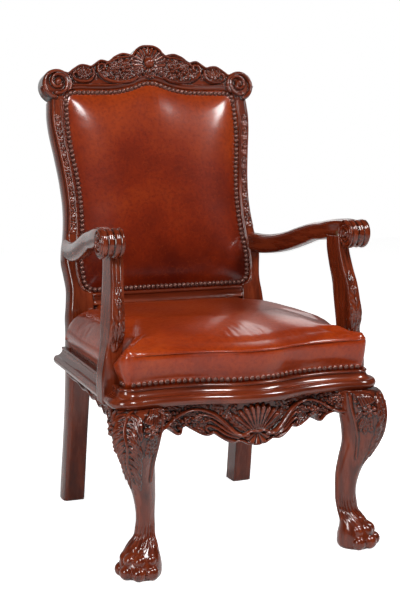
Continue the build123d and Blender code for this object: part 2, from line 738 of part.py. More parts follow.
def seat_form(inset):
    """Solid of the whole seat: straight at the nails, swelling to the welt, crowned on top."""
    rear = SEAT_BACK_Y + LEATHER - inset
    base = plan_face(-inset, rear)
    swollen = plan_face(0.75 * SEAT_SWELL - inset, rear)
    welt = plan_face(SEAT_SWELL - inset, rear)
    border = loft(
        [
            Pos(0, 0, SWELL_FROM) * base,
            Pos(0, 0, (SWELL_FROM + WELT_HEIGHT) / 2) * swollen,
            Pos(0, 0, WELT_HEIGHT - inset) * welt,
        ],
        ruled=True,
    )
    rise = SEAT_CROWN - WELT_HEIGHT
    crown = loft(
        [scaled_plan(welt, share, WELT_HEIGHT + rise * lift - inset) for share, lift in crown_steps()],
        ruled=True,
    )
    return slab(base, MOULDING_TOP, SWELL_FROM) + border + crown


def seat_notches(gap):
    """Room for the right arm post and the right rear post, with a gap round each."""
    corner = block(POST_INNER_X - gap, FAR, POST_FRONT_Y - gap, FAR, MOULDING_TOP - 1, FAR)
    return [arm_post(gap), corner]


def cut_both_sides(shape, right_cutters):
    """Cut a shape with right-hand cutters and with their mirrored twins."""
    for cutter in right_cutters:
        shape = shape - cutter - other_side(cutter)
    return shape


# Padding and leather of the back
def panel_section(share, height, inset):
    """The crowned part's outline, drawn in toward the panel's middle, at a height off the ledge."""
    middle = (up(PANEL_BOTTOM) + up(PANEL_TOP)) / 2
    face = panel_face(BACK_BORDER + inset)
    return Pos(0, 0, height) * scale(face, by=share, about=(0, middle, 0)).face()


def back_form(inset):
    """Crowned part of the padded back, from the ledge of the rebate up."""
    base = LEATHER - REBATE_DEPTH - inset
    rise = BACK_CROWN + REBATE_DEPTH - LEATHER
    sections = [panel_section(share, base + rise * lift, inset) for share, lift in crown_steps()]
    return loft(sections, ruled=True)


def back_web(x0, x1, v0, v1, level):
    """One strip of webbing in the plane of the back, at a level off the rebate's ledge."""
    ledge = -REBATE_DEPTH + level * WEB_THICKNESS
    return BACK * block(x0, x1, v0, v1, ledge, ledge + WEB_THICKNESS)


def upright_webs():
    """Upright strips of back webbing, from the lower rail to the crest."""
    low = up(LOWER_RAIL_BOTTOM) + LOWER_RAIL_HEIGHT - WEB_BEARING
    high = up(STILE_TOP) + WEB_BEARING
    pitch = WEB_WIDTH + WEB_GAP
    return [
        back_web(x - WEB_WIDTH / 2, x + WEB_WIDTH / 2, low, high, 1) for x in (-pitch, 0, pitch)
    ]


def level_webs():
    """Level strips of back webbing, from post to post, under the upright ones."""
    reach = POST_INNER_X + WEB_BEARING
    middle = (up(LOWER_RAIL_BOTTOM) + LOWER_RAIL_HEIGHT + up(STILE_TOP)) / 2
    pitch = WEB_WIDTH + WEB_GAP
    return [
        back_web(-reach, reach, middle + v - WEB_WIDTH / 2, middle + v + WEB_WIDTH / 2, 0)
        for v in (-pitch, 0, pitch)
    ]


def outside_panel_edges():
    """Low and high edge and half width of the outside back, in the plane of the back."""
    return up(LOWER_RAIL_BOTTOM) + 6, up(STILE_TOP) + 20, POST_INNER_X + OUTSIDE_REBATE - 1


# Nails
def nail(diameter):
    """Domed upholstery nail along +Z, with the underside of its head at the origin."""
    head = diameter / 2
    dome = 0.36 * diameter
    shank = NAIL_SHANK / 2
    profile = make_face(
        [
            ThreePointArc((0, dome), (0.66 * head, 0.7 * dome), (head, 0)),
            Line((head, 0), (shank, 0)),
            Line((shank, 0), (shank, -NAIL_LENGTH)),
            Line((shank, -NAIL_LENGTH), (0, -NAIL_LENGTH)),
            Line((0, -NAIL_LENGTH), (0, dome)),
        ]
    )
    return revolve(Plane.XZ * profile, Axis.Z)


def spaced(wire, pitch):
    """Points along a wire at an even pitch, with the direction of travel at each."""
    count = max(3, round(wire.length / pitch))
    steps = [(i + 0.5) / count for i in range(count)]
    return [(wire @ step, wire % step) for step in steps]


def seat_nail_places():
    """Right-hand seat nails, leaving out the arm post's foot: seat and outward direction of each."""
    wire = Wire(plan_edges(0, POST_FRONT_Y - SEAT_NAIL_DIAMETER))
    wire = wire.fillet_2d(CORNER_RADIUS, at_corners(wire, 0))
    clear = ARM_FOOT_DEPTH / 2 + SEAT_NAIL_DIAMETER / 2 + 1
    places = []
    for point, along in spaced(wire, SEAT_NAIL_PITCH):
        if abs(point.Y - ARM_FOOT_Y) > clear and point.X > 0:
            outward = (-along.Y, along.X, 0)
            places.append(Plane(origin=(point.X, point.Y, NAIL_HEIGHT), z_dir=outward))
    return places


def back_nail_places():
    """Right-hand nails round the padded back: seat and direction of each."""
    level = LEATHER - REBATE_DEPTH
    wire = Wire(panel_edges(BACK_NAIL_INSET))
    return [BACK * Pos(point.X, point.Y, level) for point, along in spaced(wire, BACK_NAIL_PITCH)]


def outside_nail_places():
    """Right-hand nails round the outside back: seat and direction of each."""
    low, high, half = outside_panel_edges()
    edge = BACK_NAIL_DIAMETER
    wire = Polyline((0, low + edge), (half - edge, low + edge), (half - edge, high - edge), (0, high - edge))
    turned = Pos(0, 0, -FRAME_DEPTH - LEATHER) * Rot(180, 0, 0)
    return [BACK * Pos(point.X, point.Y, 0) * turned for point, along in spaced(wire, 2 * BACK_NAIL_PITCH)]


def nails_at(places, diameter):
    """The same nail at each right-hand place and at its mirrored twin."""
    one = nail(diameter)
    return both([place * one for place in places])


def shanks_at(places):
    """The holes that the nails' shanks make, on the right-hand side."""
    hole = Pos(0, 0, -NAIL_LENGTH / 2) * Cylinder(NAIL_SHANK / 2, NAIL_LENGTH)
    return [place * hole for place in places]


def both(shapes):
    """Right-hand pieces and their mirrored twins, as one group."""
    return shapes + [other_side(shape) for shape in shapes]


NODES = {}


def keep(name, shape):
    """Add one piece to the chair, or a group of like pieces."""
    NODES[name] = shape


def keep_pair(name, right):
    """Add a right-hand piece and its mirrored twin."""
    keep(name + "_right", right)
    keep(name + "_left", other_side(right))


# Fixings first, because the pieces that they hold are bored for them
post_screws = arm_post_screws()
root_screw = arm_screw()
front_screw = block_screw(True)
rear_screw = block_screw(False)
roll_dowel = arm_dowel()
ear_dowel = crest_dowel()
seat_nail_spots = seat_nail_places()
back_nail_spots = back_nail_places()
outside_nail_spots = outside_nail_places()
seat_holes = shanks_at(seat_nail_spots)
back_holes = shanks_at(back_nail_spots)
outside_holes = shanks_at(outside_nail_spots)
frame_holes = back_holes + outside_holes

# Frame
low_edge, high_edge, half_width = outside_panel_edges()
panel_seat = rebate()
outside_seat = BACK * block(
    -half_width - 1, half_width + 1, up(LOWER_RAIL_BOTTOM), up(STILE_TOP) + 1, -FRAME_DEPTH, -FAR
)
post_body = rear_post(0)
leg_body = front_leg()
arm_body = arm()
arm_post_body = arm_post(0) - arm_body
rail_side = side_rail(post_body) - arm_post_body
rail_front = front_rail(leg_body)
rail_back = back_seat_rail()
block_front = front_block(leg_body, rail_front, rail_side) - front_screw
block_rear = rear_block(post_body, rail_side, rail_back) - rear_screw

mortised_post = post_body - panel_seat - outside_seat - back_tenon(POST_INNER_X + TENON_LENGTH + FIT, FIT)
mortised_post = mortised_post - BACK * lower_rail_tenon(POST_INNER_X + TENON_LENGTH + FIT, FIT)
keep_pair("rear_post", mortised_post - root_screw - rear_screw - ear_dowel - frame_holes)
mortised_leg = leg_body - front_tenon(FIT)
mortised_leg = mortised_leg - side_tenon(LEG_REAR_Y - TENON_LENGTH - FIT, LEG_REAR_Y + 1, FIT)
keep_pair("front_leg", mortised_leg - front_screw - seat_holes)
keep_pair("arm", arm_body - root_screw - roll_dowel)
keep_pair("arm_post", arm_post_body - post_screws - roll_dowel)
keep("crest_rail", crest_rail() - panel_seat - both([ear_dowel] + frame_holes))
keep("lower_back_rail", lower_back_rail() - panel_seat - both(frame_holes))
keep("front_rail", rail_front - both(seat_holes))
keep_pair("side_rail", rail_side - post_screws - seat_holes)
keep("back_seat_rail", rail_back)
keep("front_moulding", front_moulding())
keep_pair("side_moulding", side_moulding(post_body))
keep_pair("front_corner_block", block_front)
keep_pair("rear_corner_block", block_rear)

# Fixings
keep("corner_block_screws", both([front_screw, rear_screw]))
keep("arm_post_screws", both(post_screws))
keep("arm_root_screws", both([root_screw]))
keep("arm_dowels", both([roll_dowel]))
keep("crest_dowels", both([ear_dowel]))

# Seat
inside = plan_face(RAIL_BACK - 0.3, BACK_RAIL_Y - 0.3)
keep("seat_springs", [seat_spring(*place) for place in spring_places()])
clips = [spring_clip(x, start, 1) for x, start, end in spring_places()]
clips += [spring_clip(x, end, -1) for x, start, end in spring_places()]
keep("spring_clips", clips)
hessian = slab(plan_face(RAIL_FACE - 2, SEAT_BACK_Y - 2), HESSIAN_Z, HESSIAN_Z + HESSIAN)
keep("seat_hessian", cut_both_sides(hessian, seat_notches(LEATHER + 1)))
cavity = cut_both_sides(seat_form(LEATHER), seat_notches(LEATHER + SOFT_GAP))
leather = cut_both_sides(seat_form(0), seat_notches(SOFT_GAP)) - cavity
leather = leather - slab(plan_face(RAIL_FACE, SEAT_BACK_Y), 0, RAIL_TOP)
keep("seat_leather", leather - both(seat_holes))
keep("seat_stuffing", cavity & block(-FAR, FAR, -FAR, FAR, HESSIAN_Z + HESSIAN, FAR))
keep("seat_nails", nails_at(seat_nail_spots, SEAT_NAIL_DIAMETER))
dust = slab(inside, BLOCK_TOP - BLOCK_HEIGHT - HESSIAN, BLOCK_TOP - BLOCK_HEIGHT)
corner_room = block(LEG_IN_X - 0.3, FAR, -FAR, LEG_REAR_Y + 0.3, 0, FAR)
rear_room = block(POST_INNER_X - 0.3, FAR, POST_FRONT_Y - 0.3, FAR, 0, FAR)
keep("dust_cover", cut_both_sides(dust, [corner_room, rear_room]))

# Back
keep("back_webbing_upright", upright_webs())
keep("back_webbing_level", level_webs())
hessian_level = -REBATE_DEPTH + 2 * WEB_THICKNESS
back_hessian = Pos(0, 0, hessian_level) * panel_face(BACK_BORDER + LEATHER + 5)
keep("back_hessian", BACK * extrude(back_hessian, HESSIAN, dir=(0, 0, 1)))
back_inner = back_form(LEATHER)
flange = Pos(0, 0, -REBATE_DEPTH) * extrude(panel_face(0.5), LEATHER, dir=(0, 0, 1))
keep("back_leather", BACK * (flange + back_form(0) - back_inner) - both(back_holes))
above_hessian = Pos(0, 0, hessian_level + HESSIAN + FAR / 2) * Box(2 * FAR, 2 * FAR, FAR)
keep("back_stuffing", BACK * (back_inner & above_hessian))
keep("back_nails", nails_at(back_nail_spots, BACK_NAIL_DIAMETER))
outside_panel = block(-half_width, half_width, low_edge, high_edge, -FRAME_DEPTH - LEATHER, -FRAME_DEPTH)
keep("outside_back_leather", BACK * outside_panel - both(outside_holes))
keep("outside_back_nails", nails_at(outside_nail_spots, BACK_NAIL_DIAMETER))


def grouped(shape):
    """One shape, or one compound of a group of like pieces."""
    if isinstance(shape, list):
        return Compound(children=[part.solid() for part in shape])
    return shape


# The origin goes under the middle of the finished chair
pieces = {name: grouped(shape) for name, shape in NODES.items()}
boxes = [piece.bounding_box() for piece in pieces.values()]
middle_y = (min(box.min.Y for box in boxes) + max(box.max.Y for box in boxes)) / 2
for name, piece in pieces.items():
    export_step(Pos(0, -middle_y, 0) * piece, os.path.join("parts", name + ".step"))
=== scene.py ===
import json
import math

import bmesh
import bpy
import numpy as np
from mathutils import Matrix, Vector
from mathutils.kdtree import KDTree


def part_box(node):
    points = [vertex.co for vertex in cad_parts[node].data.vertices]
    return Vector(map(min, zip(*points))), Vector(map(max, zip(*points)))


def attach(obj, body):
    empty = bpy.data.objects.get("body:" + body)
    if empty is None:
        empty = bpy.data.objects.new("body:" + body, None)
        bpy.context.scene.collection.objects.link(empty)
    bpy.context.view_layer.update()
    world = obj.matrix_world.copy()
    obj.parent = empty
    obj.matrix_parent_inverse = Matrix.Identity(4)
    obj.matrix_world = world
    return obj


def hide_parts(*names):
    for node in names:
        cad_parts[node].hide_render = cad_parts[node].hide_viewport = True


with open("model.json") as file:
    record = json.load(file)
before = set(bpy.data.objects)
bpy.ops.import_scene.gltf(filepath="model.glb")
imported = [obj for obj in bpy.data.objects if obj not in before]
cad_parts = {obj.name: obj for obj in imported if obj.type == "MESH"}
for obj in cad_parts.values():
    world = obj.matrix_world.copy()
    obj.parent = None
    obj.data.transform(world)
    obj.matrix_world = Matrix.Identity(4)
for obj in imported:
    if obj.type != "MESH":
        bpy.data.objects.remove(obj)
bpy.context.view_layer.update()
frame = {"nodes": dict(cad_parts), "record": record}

# Millimetres. The sketch has its own zero in depth; points are shifted once, by the back seat rail
MM = 0.001
BACK_RAIL_Y = 207.29
SHIFT_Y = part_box("back_seat_rail")[0].y / MM - BACK_RAIL_Y

# Seat plan: a bow in the middle of the front between two hollows, sides that draw in towards the back
SEAT_FRONT_Y = -302.0
BOW = 36.0
BOW_RADIUS = 190.0
DIP_HALF = 190.0
DIP_Y = SEAT_FRONT_Y + BOW
HOLLOW_RADIUS = (DIP_HALF ** 2 + BOW ** 2) / (2 * BOW) - BOW_RADIUS
HOLLOW_Y = DIP_Y - HOLLOW_RADIUS
FRONT_HALF = 277.0
REAR_HALF = 250.0
CORNER_Y = -277.7
CORNER_RADIUS = 16.0
SEAT_BACK_Y = 233.3
POST_FRONT_Y = 193.3
SIDE_DRAW_IN = (FRONT_HALF - REAR_HALF) / (SEAT_BACK_Y - CORNER_Y)

# Levels and reaches of the seat and its frame
APRON_TOP = 354.0
RAIL_TOP = 408.0
WELT_HEIGHT = 462.0
SEAT_CROWN = 501.0
APRON_OUT = 21.0
SIDE_APRON_OUT = 12.0
RAIL_THICKNESS = 26.0

# Back: a raked plane above the bend in the rear posts
BEND_Y = 183.0
BEND_Z = 468.0
BACK_RAKE = math.radians(14.1)
LEG_RAKE = math.radians(9.4)
BEND_HALF = 105.0
POST_DEPTH = 50.0
POST_INNER_X = 196.0
FRAME_DEPTH = 40.0
REBATE = 6.0
BACK_CROWN = 23.0
PAD_BORDER = 13.0
PAD_ROUND = 40.0
PANEL_FOOT = 527.0
PANEL_MIDDLE = np.array([0.0, 775.0])

# The two sides of the chair, by the sign of x
SIDES = {1: "right", -1: "left"}


def place(points):
    """Sketch millimetres to the part's own frame in metres."""
    return (np.asarray(points, float) + (0.0, SHIFT_Y, 0.0)) * MM


def to_sketch(points):
    """The part's own frame in metres to sketch millimetres."""
    return np.asarray(points, float) / MM - (0.0, SHIFT_Y, 0.0)


def unit(vectors):
    return vectors / np.linalg.norm(vectors, axis=-1, keepdims=True)


def closed_plan(half):
    """A half outline that starts and ends in the middle, closed by its mirror image."""
    return np.concatenate([half, half[::-1][1:-1] * (-1, 1)])


def at_level(plan, z):
    return np.concatenate([plan, np.full((len(plan), 1), z)], 1)


def curve(points, at):
    """A smooth line y(x) through points, read at the given x."""
    px, py = np.array(points, float).T
    slopes = np.gradient(py, px)
    at = np.clip(np.asarray(at, float), px[0], px[-1])
    i = np.clip(np.searchsorted(px, at) - 1, 0, len(px) - 2)
    span = px[i + 1] - px[i]
    t = (at - px[i]) / span
    start = (2 * t ** 3 - 3 * t ** 2 + 1) * py[i] + (t ** 3 - 2 * t ** 2 + t) * span * slopes[i]
    end = (3 * t ** 2 - 2 * t ** 3) * py[i + 1] + (t ** 3 - t ** 2) * span * slopes[i + 1]
    return start + end


def path_through(points, steps=12):
    """A smooth open line through points of any number of coordinates."""
    points = np.array(points, float)
    marks = np.arange(len(points))
    at = np.linspace(0, len(points) - 1, (len(points) - 1) * steps + 1)
    return np.stack([curve(np.stack([marks, points[:, k]], 1), at) for k in range(points.shape[1])], 1)


def columns_at(table, at):
    """Each further column of a table as a smooth line over its first, read at the given values."""
    table = np.array(table, float)
    return [curve(table[:, [0, k]], at)[:, None] for k in range(1, table.shape[1])]


def bent_spine(root, tip, aside, up):
    """A smooth line from root to tip that passes beside the middle."""
    middle = ((root[0] + tip[0]) / 2 + aside, (root[1] + tip[1]) / 2 + up)
    return path_through([root, middle, tip])


def spiral(centre, start_radius, end_radius, start_angle, end_angle, steps):
    """A scroll line that winds from one radius to another; angles in degrees."""
    t = np.linspace(0, 1, steps)
    angle = np.radians(start_angle + (end_angle - start_angle) * t)
    radius = start_radius + (end_radius - start_radius) * t
    return np.stack([centre[0] + radius * np.cos(angle), centre[1] + radius * np.sin(angle)], 1)


def smoothstep(low, high, value):
    t = np.clip((value - low) / (high - low), 0, 1)
    return t * t * (3 - 2 * t)


def round_bead(at, middle, half):
    """A half round of height one, across a line of positions."""
    return np.sqrt(np.clip(1 - ((at - middle) / half) ** 2, 0, 1))


def edge_fade(gap, reach):
    """Nothing at an edge, one from reach inward."""
    return np.clip(gap / reach, 0, 1) ** 0.5


def pull(gap):
    """Weight of an edge at a distance: near edges count most."""
    return 1 / np.clip(gap, 1, None) ** 3


def front_y(x, out=0.0):
    """The seat's front line in plan, moved outward by out."""
    x = np.abs(np.asarray(x, float))
    turn = DIP_HALF * (BOW_RADIUS + out) / (BOW_RADIUS + HOLLOW_RADIUS)
    bow = SEAT_FRONT_Y + BOW_RADIUS - np.sqrt(np.maximum((BOW_RADIUS + out) ** 2 - x ** 2, 0))
    hollow = HOLLOW_Y + np.sqrt(np.maximum((HOLLOW_RADIUS - out) ** 2 - (x - DIP_HALF) ** 2, 0))
    return np.where(x < turn, bow, hollow)


def side_x(y, out=0.0):
    """The seat's side line in plan, moved outward by out."""
    return FRONT_HALF - SIDE_DRAW_IN * (np.asarray(y, float) - CORNER_Y) + out


def back_face(z):
    return BEND_Y + (z - BEND_Z) * math.tan(BACK_RAKE)


def on_back(x, z, proud):
    """A point on the raked back plane, lifted from it by proud."""
    x, z, proud = np.broadcast_arrays(np.asarray(x, float), z, proud)
    y = back_face(z) - proud * math.cos(BACK_RAKE)
    return np.stack([x, y, z + proud * math.sin(BACK_RAKE)], -1)


# A height below any relief, for the points that a motif leaves as they are
UNRAISED = -99.0


class Carving:
    """Relief on a patch with flat coordinates x and y; h is its height, and each motif can only raise it."""

    def __init__(self, x, y, ground=0.0):
        self.x = np.asarray(x, float)
        self.y = np.asarray(y, float)
        self.h = np.zeros(self.x.shape) + ground

    def near(self, points, margin):
        points = np.asarray(points, float)
        low = points.min(0) - margin
        high = points.max(0) + margin
        return (self.x > low[0]) & (self.x < high[0]) & (self.y > low[1]) & (self.y < high[1])

    def around(self, centre, reach):
        """The points near a centre, their distance from it and their angle in degrees."""
        where = self.near([centre], reach)
        dx = self.x[where] - centre[0]
        dy = self.y[where] - centre[1]
        return where, np.hypot(dx, dy), np.degrees(np.arctan2(dy, dx))

    def raise_to(self, where, height):
        self.h[where] = np.maximum(self.h[where], height)

    def raise_all(self, height):
        self.h = np.maximum(self.h, height)

    def along(self, path, where):
        """Share of the way along a path, and the signed distance from it, for the chosen points."""
        px = self.x[where][:, None]
        py = self.y[where][:, None]
        a = path[:-1]
        step = path[1:] - a
        length = np.maximum(np.hypot(step[:, 0], step[:, 1]), 1e-6)
        t = ((px - a[:, 0]) * step[:, 0] + (py - a[:, 1]) * step[:, 1]) / length ** 2
        t = np.clip(t, 0, 1)
        dx = px - a[:, 0] - t * step[:, 0]
        dy = py - a[:, 1] - t * step[:, 1]
        distance = np.hypot(dx, dy)
        nearest = distance.argmin(1)
        rows = np.arange(len(nearest))
        side = np.sign(step[nearest, 0] * dy[rows, nearest] - step[nearest, 1] * dx[rows, nearest])
        walked = np.concatenate([[0], np.cumsum(length)])
        share = (walked[nearest] + t[rows, nearest] * length[nearest]) / walked[-1]
        return share, distance[rows, nearest] * np.where(side == 0, 1, side)

    def ridge(self, path, width, height, end_width=None):
        """A round moulding along a path, which may taper."""
        path = np.asarray(path, float)
        end_width = width if end_width is None else end_width
        where = self.near(path, max(width, end_width))
        if not where.any():
            return
        share, distance = self.along(path, where)
        reach = width + (end_width - width) * share
        round_top = np.sqrt(np.clip(1 - (distance / reach) ** 2, 0, 1))
        self.raise_to(where, height * round_top * (0.45 + 0.55 * reach / max(width, end_width)))

    def leaf(self, spine, width, height, lobes=4):
        """A lobed leaf with a sunk midrib, along a spine from its root to its tip."""
        spine = np.asarray(spine, float)
        where = self.near(spine, width)
        if not where.any():
            return
        share, distance = self.along(spine, where)
        lobe = 0.74 + 0.26 * np.abs(np.cos(math.pi * lobes * share))
        reach = width * np.sin(math.pi * np.clip(0.1 + 0.9 * share, 0, 1)) ** 0.7 * lobe + 0.01
        inside = np.clip(1 - np.abs(distance) / reach, 0, 1)
        veins = 0.82 + 0.18 * np.cos(2 * math.pi * (lobes * share - np.abs(distance) / width))
        rib = 1 - 0.5 * np.exp(-(distance / (0.11 * width)) ** 2)
        lift = 0.55 + 0.45 * share
        self.raise_to(where, np.where(inside > 0, height * inside ** 0.45 * veins * rib * lift, UNRAISED))

    def leaves(self, spines, height):
        """Leaves of four lobes, each given by the points of its spine and its width."""
        for spine, width in spines:
            self.leaf(path_through(spine), width, height)

    def ball(self, centre, radius, height):
        where, distance, _ = self.around(centre, radius)
        d = distance / radius
        self.raise_to(where, np.where(d < 1, height * np.sqrt(np.clip(1 - d * d, 0, 1)), UNRAISED))

    def flower(self, centre, radius, height, petals=5, turn=90.0):
        """Cupped petals round a seed ball."""
        where, distance, angle = self.around(centre, radius)
        d = distance / radius
        part = (angle - turn) * petals / 360
        across = np.abs(part - np.round(part)) * 2
        reach = 1 - 0.34 * across ** 2.2
        cup = np.sqrt(np.clip(1 - (d / reach) ** 4, 0, 1)) * (0.5 + 0.5 * np.clip(d / 0.7, 0, 1))
        crease = 1 - 0.55 * across ** 3
        self.raise_to(where, np.where(d < reach, height * cup * crease, UNRAISED))
        self.ball(centre, 0.34 * radius, 0.95 * height)

    def fan(self, centre, inner, outer, first, last, ribs, height):
        """A scallop of round ribs that spread from a centre, with a lobed rim; angles in degrees."""
        where, d, angle = self.around(centre, outer)
        part = (angle - first) / (last - first) * ribs
        round_rib = np.abs(np.sin(math.pi * np.clip(part, 0, ribs))) ** 0.7
        rim = outer * (0.88 + 0.12 * round_rib)
        share = np.clip((d - inner) / (rim - inner), 0, 1)
        lift = (0.45 + 0.55 * share) * np.clip((1 - share) / 0.12, 0, 1) ** 0.5
        shown = (part > 0) & (part < ribs) & (d > inner) & (d < rim)
        self.raise_to(where, np.where(shown, height * lift * (0.35 + 0.65 * round_rib), UNRAISED))

    def foliage(self, low, high, count, size, height):
        """Small leaves and berries spread evenly over a box, to fill the ground between larger motifs."""
        for k in range(1, count + 1):
            x = low[0] + (high[0] - low[0]) * (k * 0.7549 % 1)
            y = low[1] + (high[1] - low[1]) * (k * 0.5698 % 1)
            if k % 3 == 0:
                self.ball((x, y), 0.42 * size, height)
            else:
                turn = math.radians(137.5 * k)
                tip = (x + size * math.cos(turn), y + size * math.sin(turn))
                bend = ((x + tip[0]) / 2 + 0.2 * (tip[1] - y), (y + tip[1]) / 2 - 0.2 * (tip[0] - x))
                self.leaf(path_through([(x, y), bend, tip], 5), 0.5 * size, height, 3)

    def beads(self, path, radius, height):
        """A row of small balls along a path."""
        path = np.asarray(path, float)
        walked = np.concatenate([[0], np.cumsum(np.hypot(*np.diff(path, axis=0).T))])
        for at in np.arange(radius, walked[-1], 2.1 * radius):
            self.ball((np.interp(at, walked, path[:, 0]), np.interp(at, walked, path[:, 1])), radius, height)


# The painted shade that darkens carved hollows is drawn from this depth.
def hollows(height, reach=6, depth=1.0):
    """How deep each point of a relief lies below the mean round it, from 0 to 1."""
    mean = height.copy()
    for _ in range(reach):
        padded = np.pad(mean, 1, mode="edge")
        mean = (padded[:-2, 1:-1] + padded[2:, 1:-1] + padded[1:-1, :-2] + padded[1:-1, 2:] + mean) / 5
    return np.clip((mean - height) / depth, 0, 1)


def with_plain(shade, count):
    """The shade of a carved face, followed by columns of plain wood."""
    return np.concatenate([shade, np.zeros((len(shade), count))], 1)


def grid_faces(rows, cols, closed=False, first=0):
    """Quads of a grid of points; closed joins the last column to the first."""
    r = np.arange(rows - 1)[:, None]
    c = np.arange(cols if closed else cols - 1)[None, :]
    a = first + r * cols + c
    b = first + r * cols + (c + 1) % cols
    return np.stack([a, b, b + cols, a + cols], -1).reshape(-1, 4).tolist()


def new_object(name, data):
    obj = bpy.data.objects.new(name, data)
    bpy.context.scene.collection.objects.link(obj)
    return obj


def make_piece(name, points, faces, hollow_shade=None):
    """A mesh object from sketch points, with smooth shading and its normals turned outward."""
    mesh = bpy.data.meshes.new(name)
    mesh.from_pydata(place(points).tolist(), [], faces)
    # Painted shade: the darkness of the hollows is kept on the mesh as a point attribute.
    if hollow_shade is not None:
        layer = mesh.attributes.new("hollow_shade", "FLOAT", "POINT")
        layer.data.foreach_set("value", np.asarray(hollow_shade, np.float32).ravel())
    build = bmesh.new()
    build.from_mesh(mesh)
    bmesh.ops.remove_doubles(build, verts=build.verts, dist=0.00002)
    bmesh.ops.recalc_face_normals(build, faces=build.faces)
    build.to_mesh(mesh)
    build.free()
    mesh.shade_smooth()
    return new_object(name, mesh)


def tube_piece(name, rings, hollow_shade=None):
    """A closed piece from a run of rings with the same count of points."""
    rings = np.asarray(rings, float)
    rows, cols = rings.shape[:2]
    faces = grid_faces(rows, cols, closed=True)
    points = np.concatenate([rings.reshape(-1, 3), [rings[0].mean(0), rings[-1].mean(0)]])
    for start, middle in ((0, rows * cols), ((rows - 1) * cols, rows * cols + 1)):
        faces += [[start + k, start + (k + 1) % cols, middle] for k in range(cols)]
    if hollow_shade is not None:
        hollow_shade = np.append(hollow_shade, [0, 0])
    return make_piece(name, points, faces, hollow_shade)


def side_piece(name, sign, rings, hollow_shade=None):
    """The piece for one side of the chair, from the rings of the right-hand one."""
    return tube_piece(name + "_" + SIDES[sign], np.asarray(rings, float) * (sign, 1, 1), hollow_shade)


def dress(piece, slot, material, *nodes):
    """The piece rides on the chair, takes a finish and stands for CAD nodes."""
    piece.data.materials.clear()
    piece.data.materials.append(material)
    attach(piece, "root")
    if nodes:
        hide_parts(*nodes)
    return piece


class Nodes:
    """Shorthand for the node tree of a material or a world."""

    def __init__(self, owner, shader="Principled BSDF"):
        owner.use_nodes = True
        self.owner = owner
        self.tree = owner.node_tree
        self.shader = self.tree.nodes[shader]

    def feed(self, node, inputs):
        """Each input takes a plain value, or a link where another node's output is given."""
        for key, value in inputs.items():
            if isinstance(value, bpy.types.NodeSocket):
                self.tree.links.new(value, node.inputs[key])
            else:
                node.inputs[key].default_value = value

    def add(self, kind, inputs, output, **settings):
        """One output of a new node."""
        node = self.tree.nodes.new(kind)
        for key, value in settings.items():
            setattr(node, key, value)
        self.feed(node, inputs)
        return node.outputs[output]

    def noise(self, vector, scale, detail, rough, output="Fac"):
        inputs = {"Vector": vector, "Scale": scale, "Detail": detail, "Roughness": rough}
        return self.add("ShaderNodeTexNoise", inputs, output)

    def cells(self, vector, scale):
        """Distance from the edges of a pattern of cells."""
        inputs = {"Vector": vector, "Scale": scale}
        return self.add("ShaderNodeTexVoronoi", inputs, "Distance", feature="DISTANCE_TO_EDGE")

    def position(self, stretch=(1, 1, 1)):
        coords = self.add("ShaderNodeTexCoord", {}, "Object")
        return self.add("ShaderNodeMapping", {"Vector": coords, "Scale": stretch}, "Vector")

    def maths(self, operation, first, second):
        return self.add("ShaderNodeMath", {0: first, 1: second}, "Value", operation=operation)

    def ramp(self, fac, *stops):
        node = self.tree.nodes.new("ShaderNodeValToRGB")
        ramp = node.color_ramp
        while len(ramp.elements) < len(stops):
            ramp.elements.new(0.5)
        for element, (at, colour) in zip(ramp.elements, stops):
            element.position = at
            element.color = (*colour, 1)
        self.feed(node, {"Fac": fac})
        return node.outputs["Color"]

    def mix(self, fac, first, second):
        if isinstance(second, tuple):
            second = (*second, 1)
        return self.add("ShaderNodeMix", {"Factor": fac, "A": first, "B": second}, "Result", data_type="RGBA")

    def spread(self, fac, low, high, start=0.0, end=1.0, **settings):
        """Values from start to end drawn out to run from low to high."""
        inputs = {"Value": fac, "From Min": start, "From Max": end, "To Min": low, "To Max": high}
        return self.add("ShaderNodeMapRange", inputs, "Result", **settings)

    def bump(self, height, strength, distance, under=None):
        inputs = {"Height": height, "Strength": strength, "Distance": distance}
        if under is not None:
            inputs["Normal"] = under
        return self.add("ShaderNodeBump", inputs, "Normal")


MAHOGANY = [(0.062, 0.009, 0.003), (0.135, 0.019, 0.005), (0.225, 0.036, 0.009), (0.060, 0.009, 0.0035)]
PLAIN_WOOD = [(0.085, 0.036, 0.016), (0.150, 0.066, 0.030), (0.220, 0.105, 0.050), (0.090, 0.040, 0.018)]
# Near black for the painted shade in the hollows of the carving
HOLLOW_SHADE_COLOUR = (0.006, 0.002, 0.0012)


def wood_finish(name, stretch, tones, coat):
    """Wood with grain along one axis, clouds of a fourth tone, and painted shade that darkens the hollows to
    near black.
    """
    nodes = Nodes(bpy.data.materials.new(name))
    grain = nodes.noise(nodes.position(stretch), 60, 6, 0.6)
    clouds = nodes.noise(nodes.position(), 9, 3, 0.5)
    pores = nodes.noise(nodes.position(stretch), 340, 3, 0.6)
    streaks = nodes.ramp(grain, (0.3, tones[0]), (0.5, tones[1]), (0.72, tones[2]))
    body = nodes.mix(nodes.spread(clouds, 0.0, 0.5), streaks, tones[3])
    hollow_shade = nodes.add("ShaderNodeAttribute", {}, "Fac", attribute_name="hollow_shade")
    # Painted shade: the hollows' attribute mixes the wood's colour towards near black.
    nodes.feed(nodes.shader, {"Base Color": nodes.mix(hollow_shade, body, HOLLOW_SHADE_COLOUR),
                              "Roughness": nodes.spread(grain, 0.2, 0.34),
                              "Normal": nodes.bump(pores, 0.05, 0.0006),
                              "Specular IOR Level": 0.1, "Coat Weight": coat, "Coat Roughness": 0.12})
    return nodes.owner


# The levels between which painted shade turns the back's leather from darker at the foot to paler upward
BACK_SHADE_FOOT = 540.0
BACK_SHADE_HEAD = 1010.0


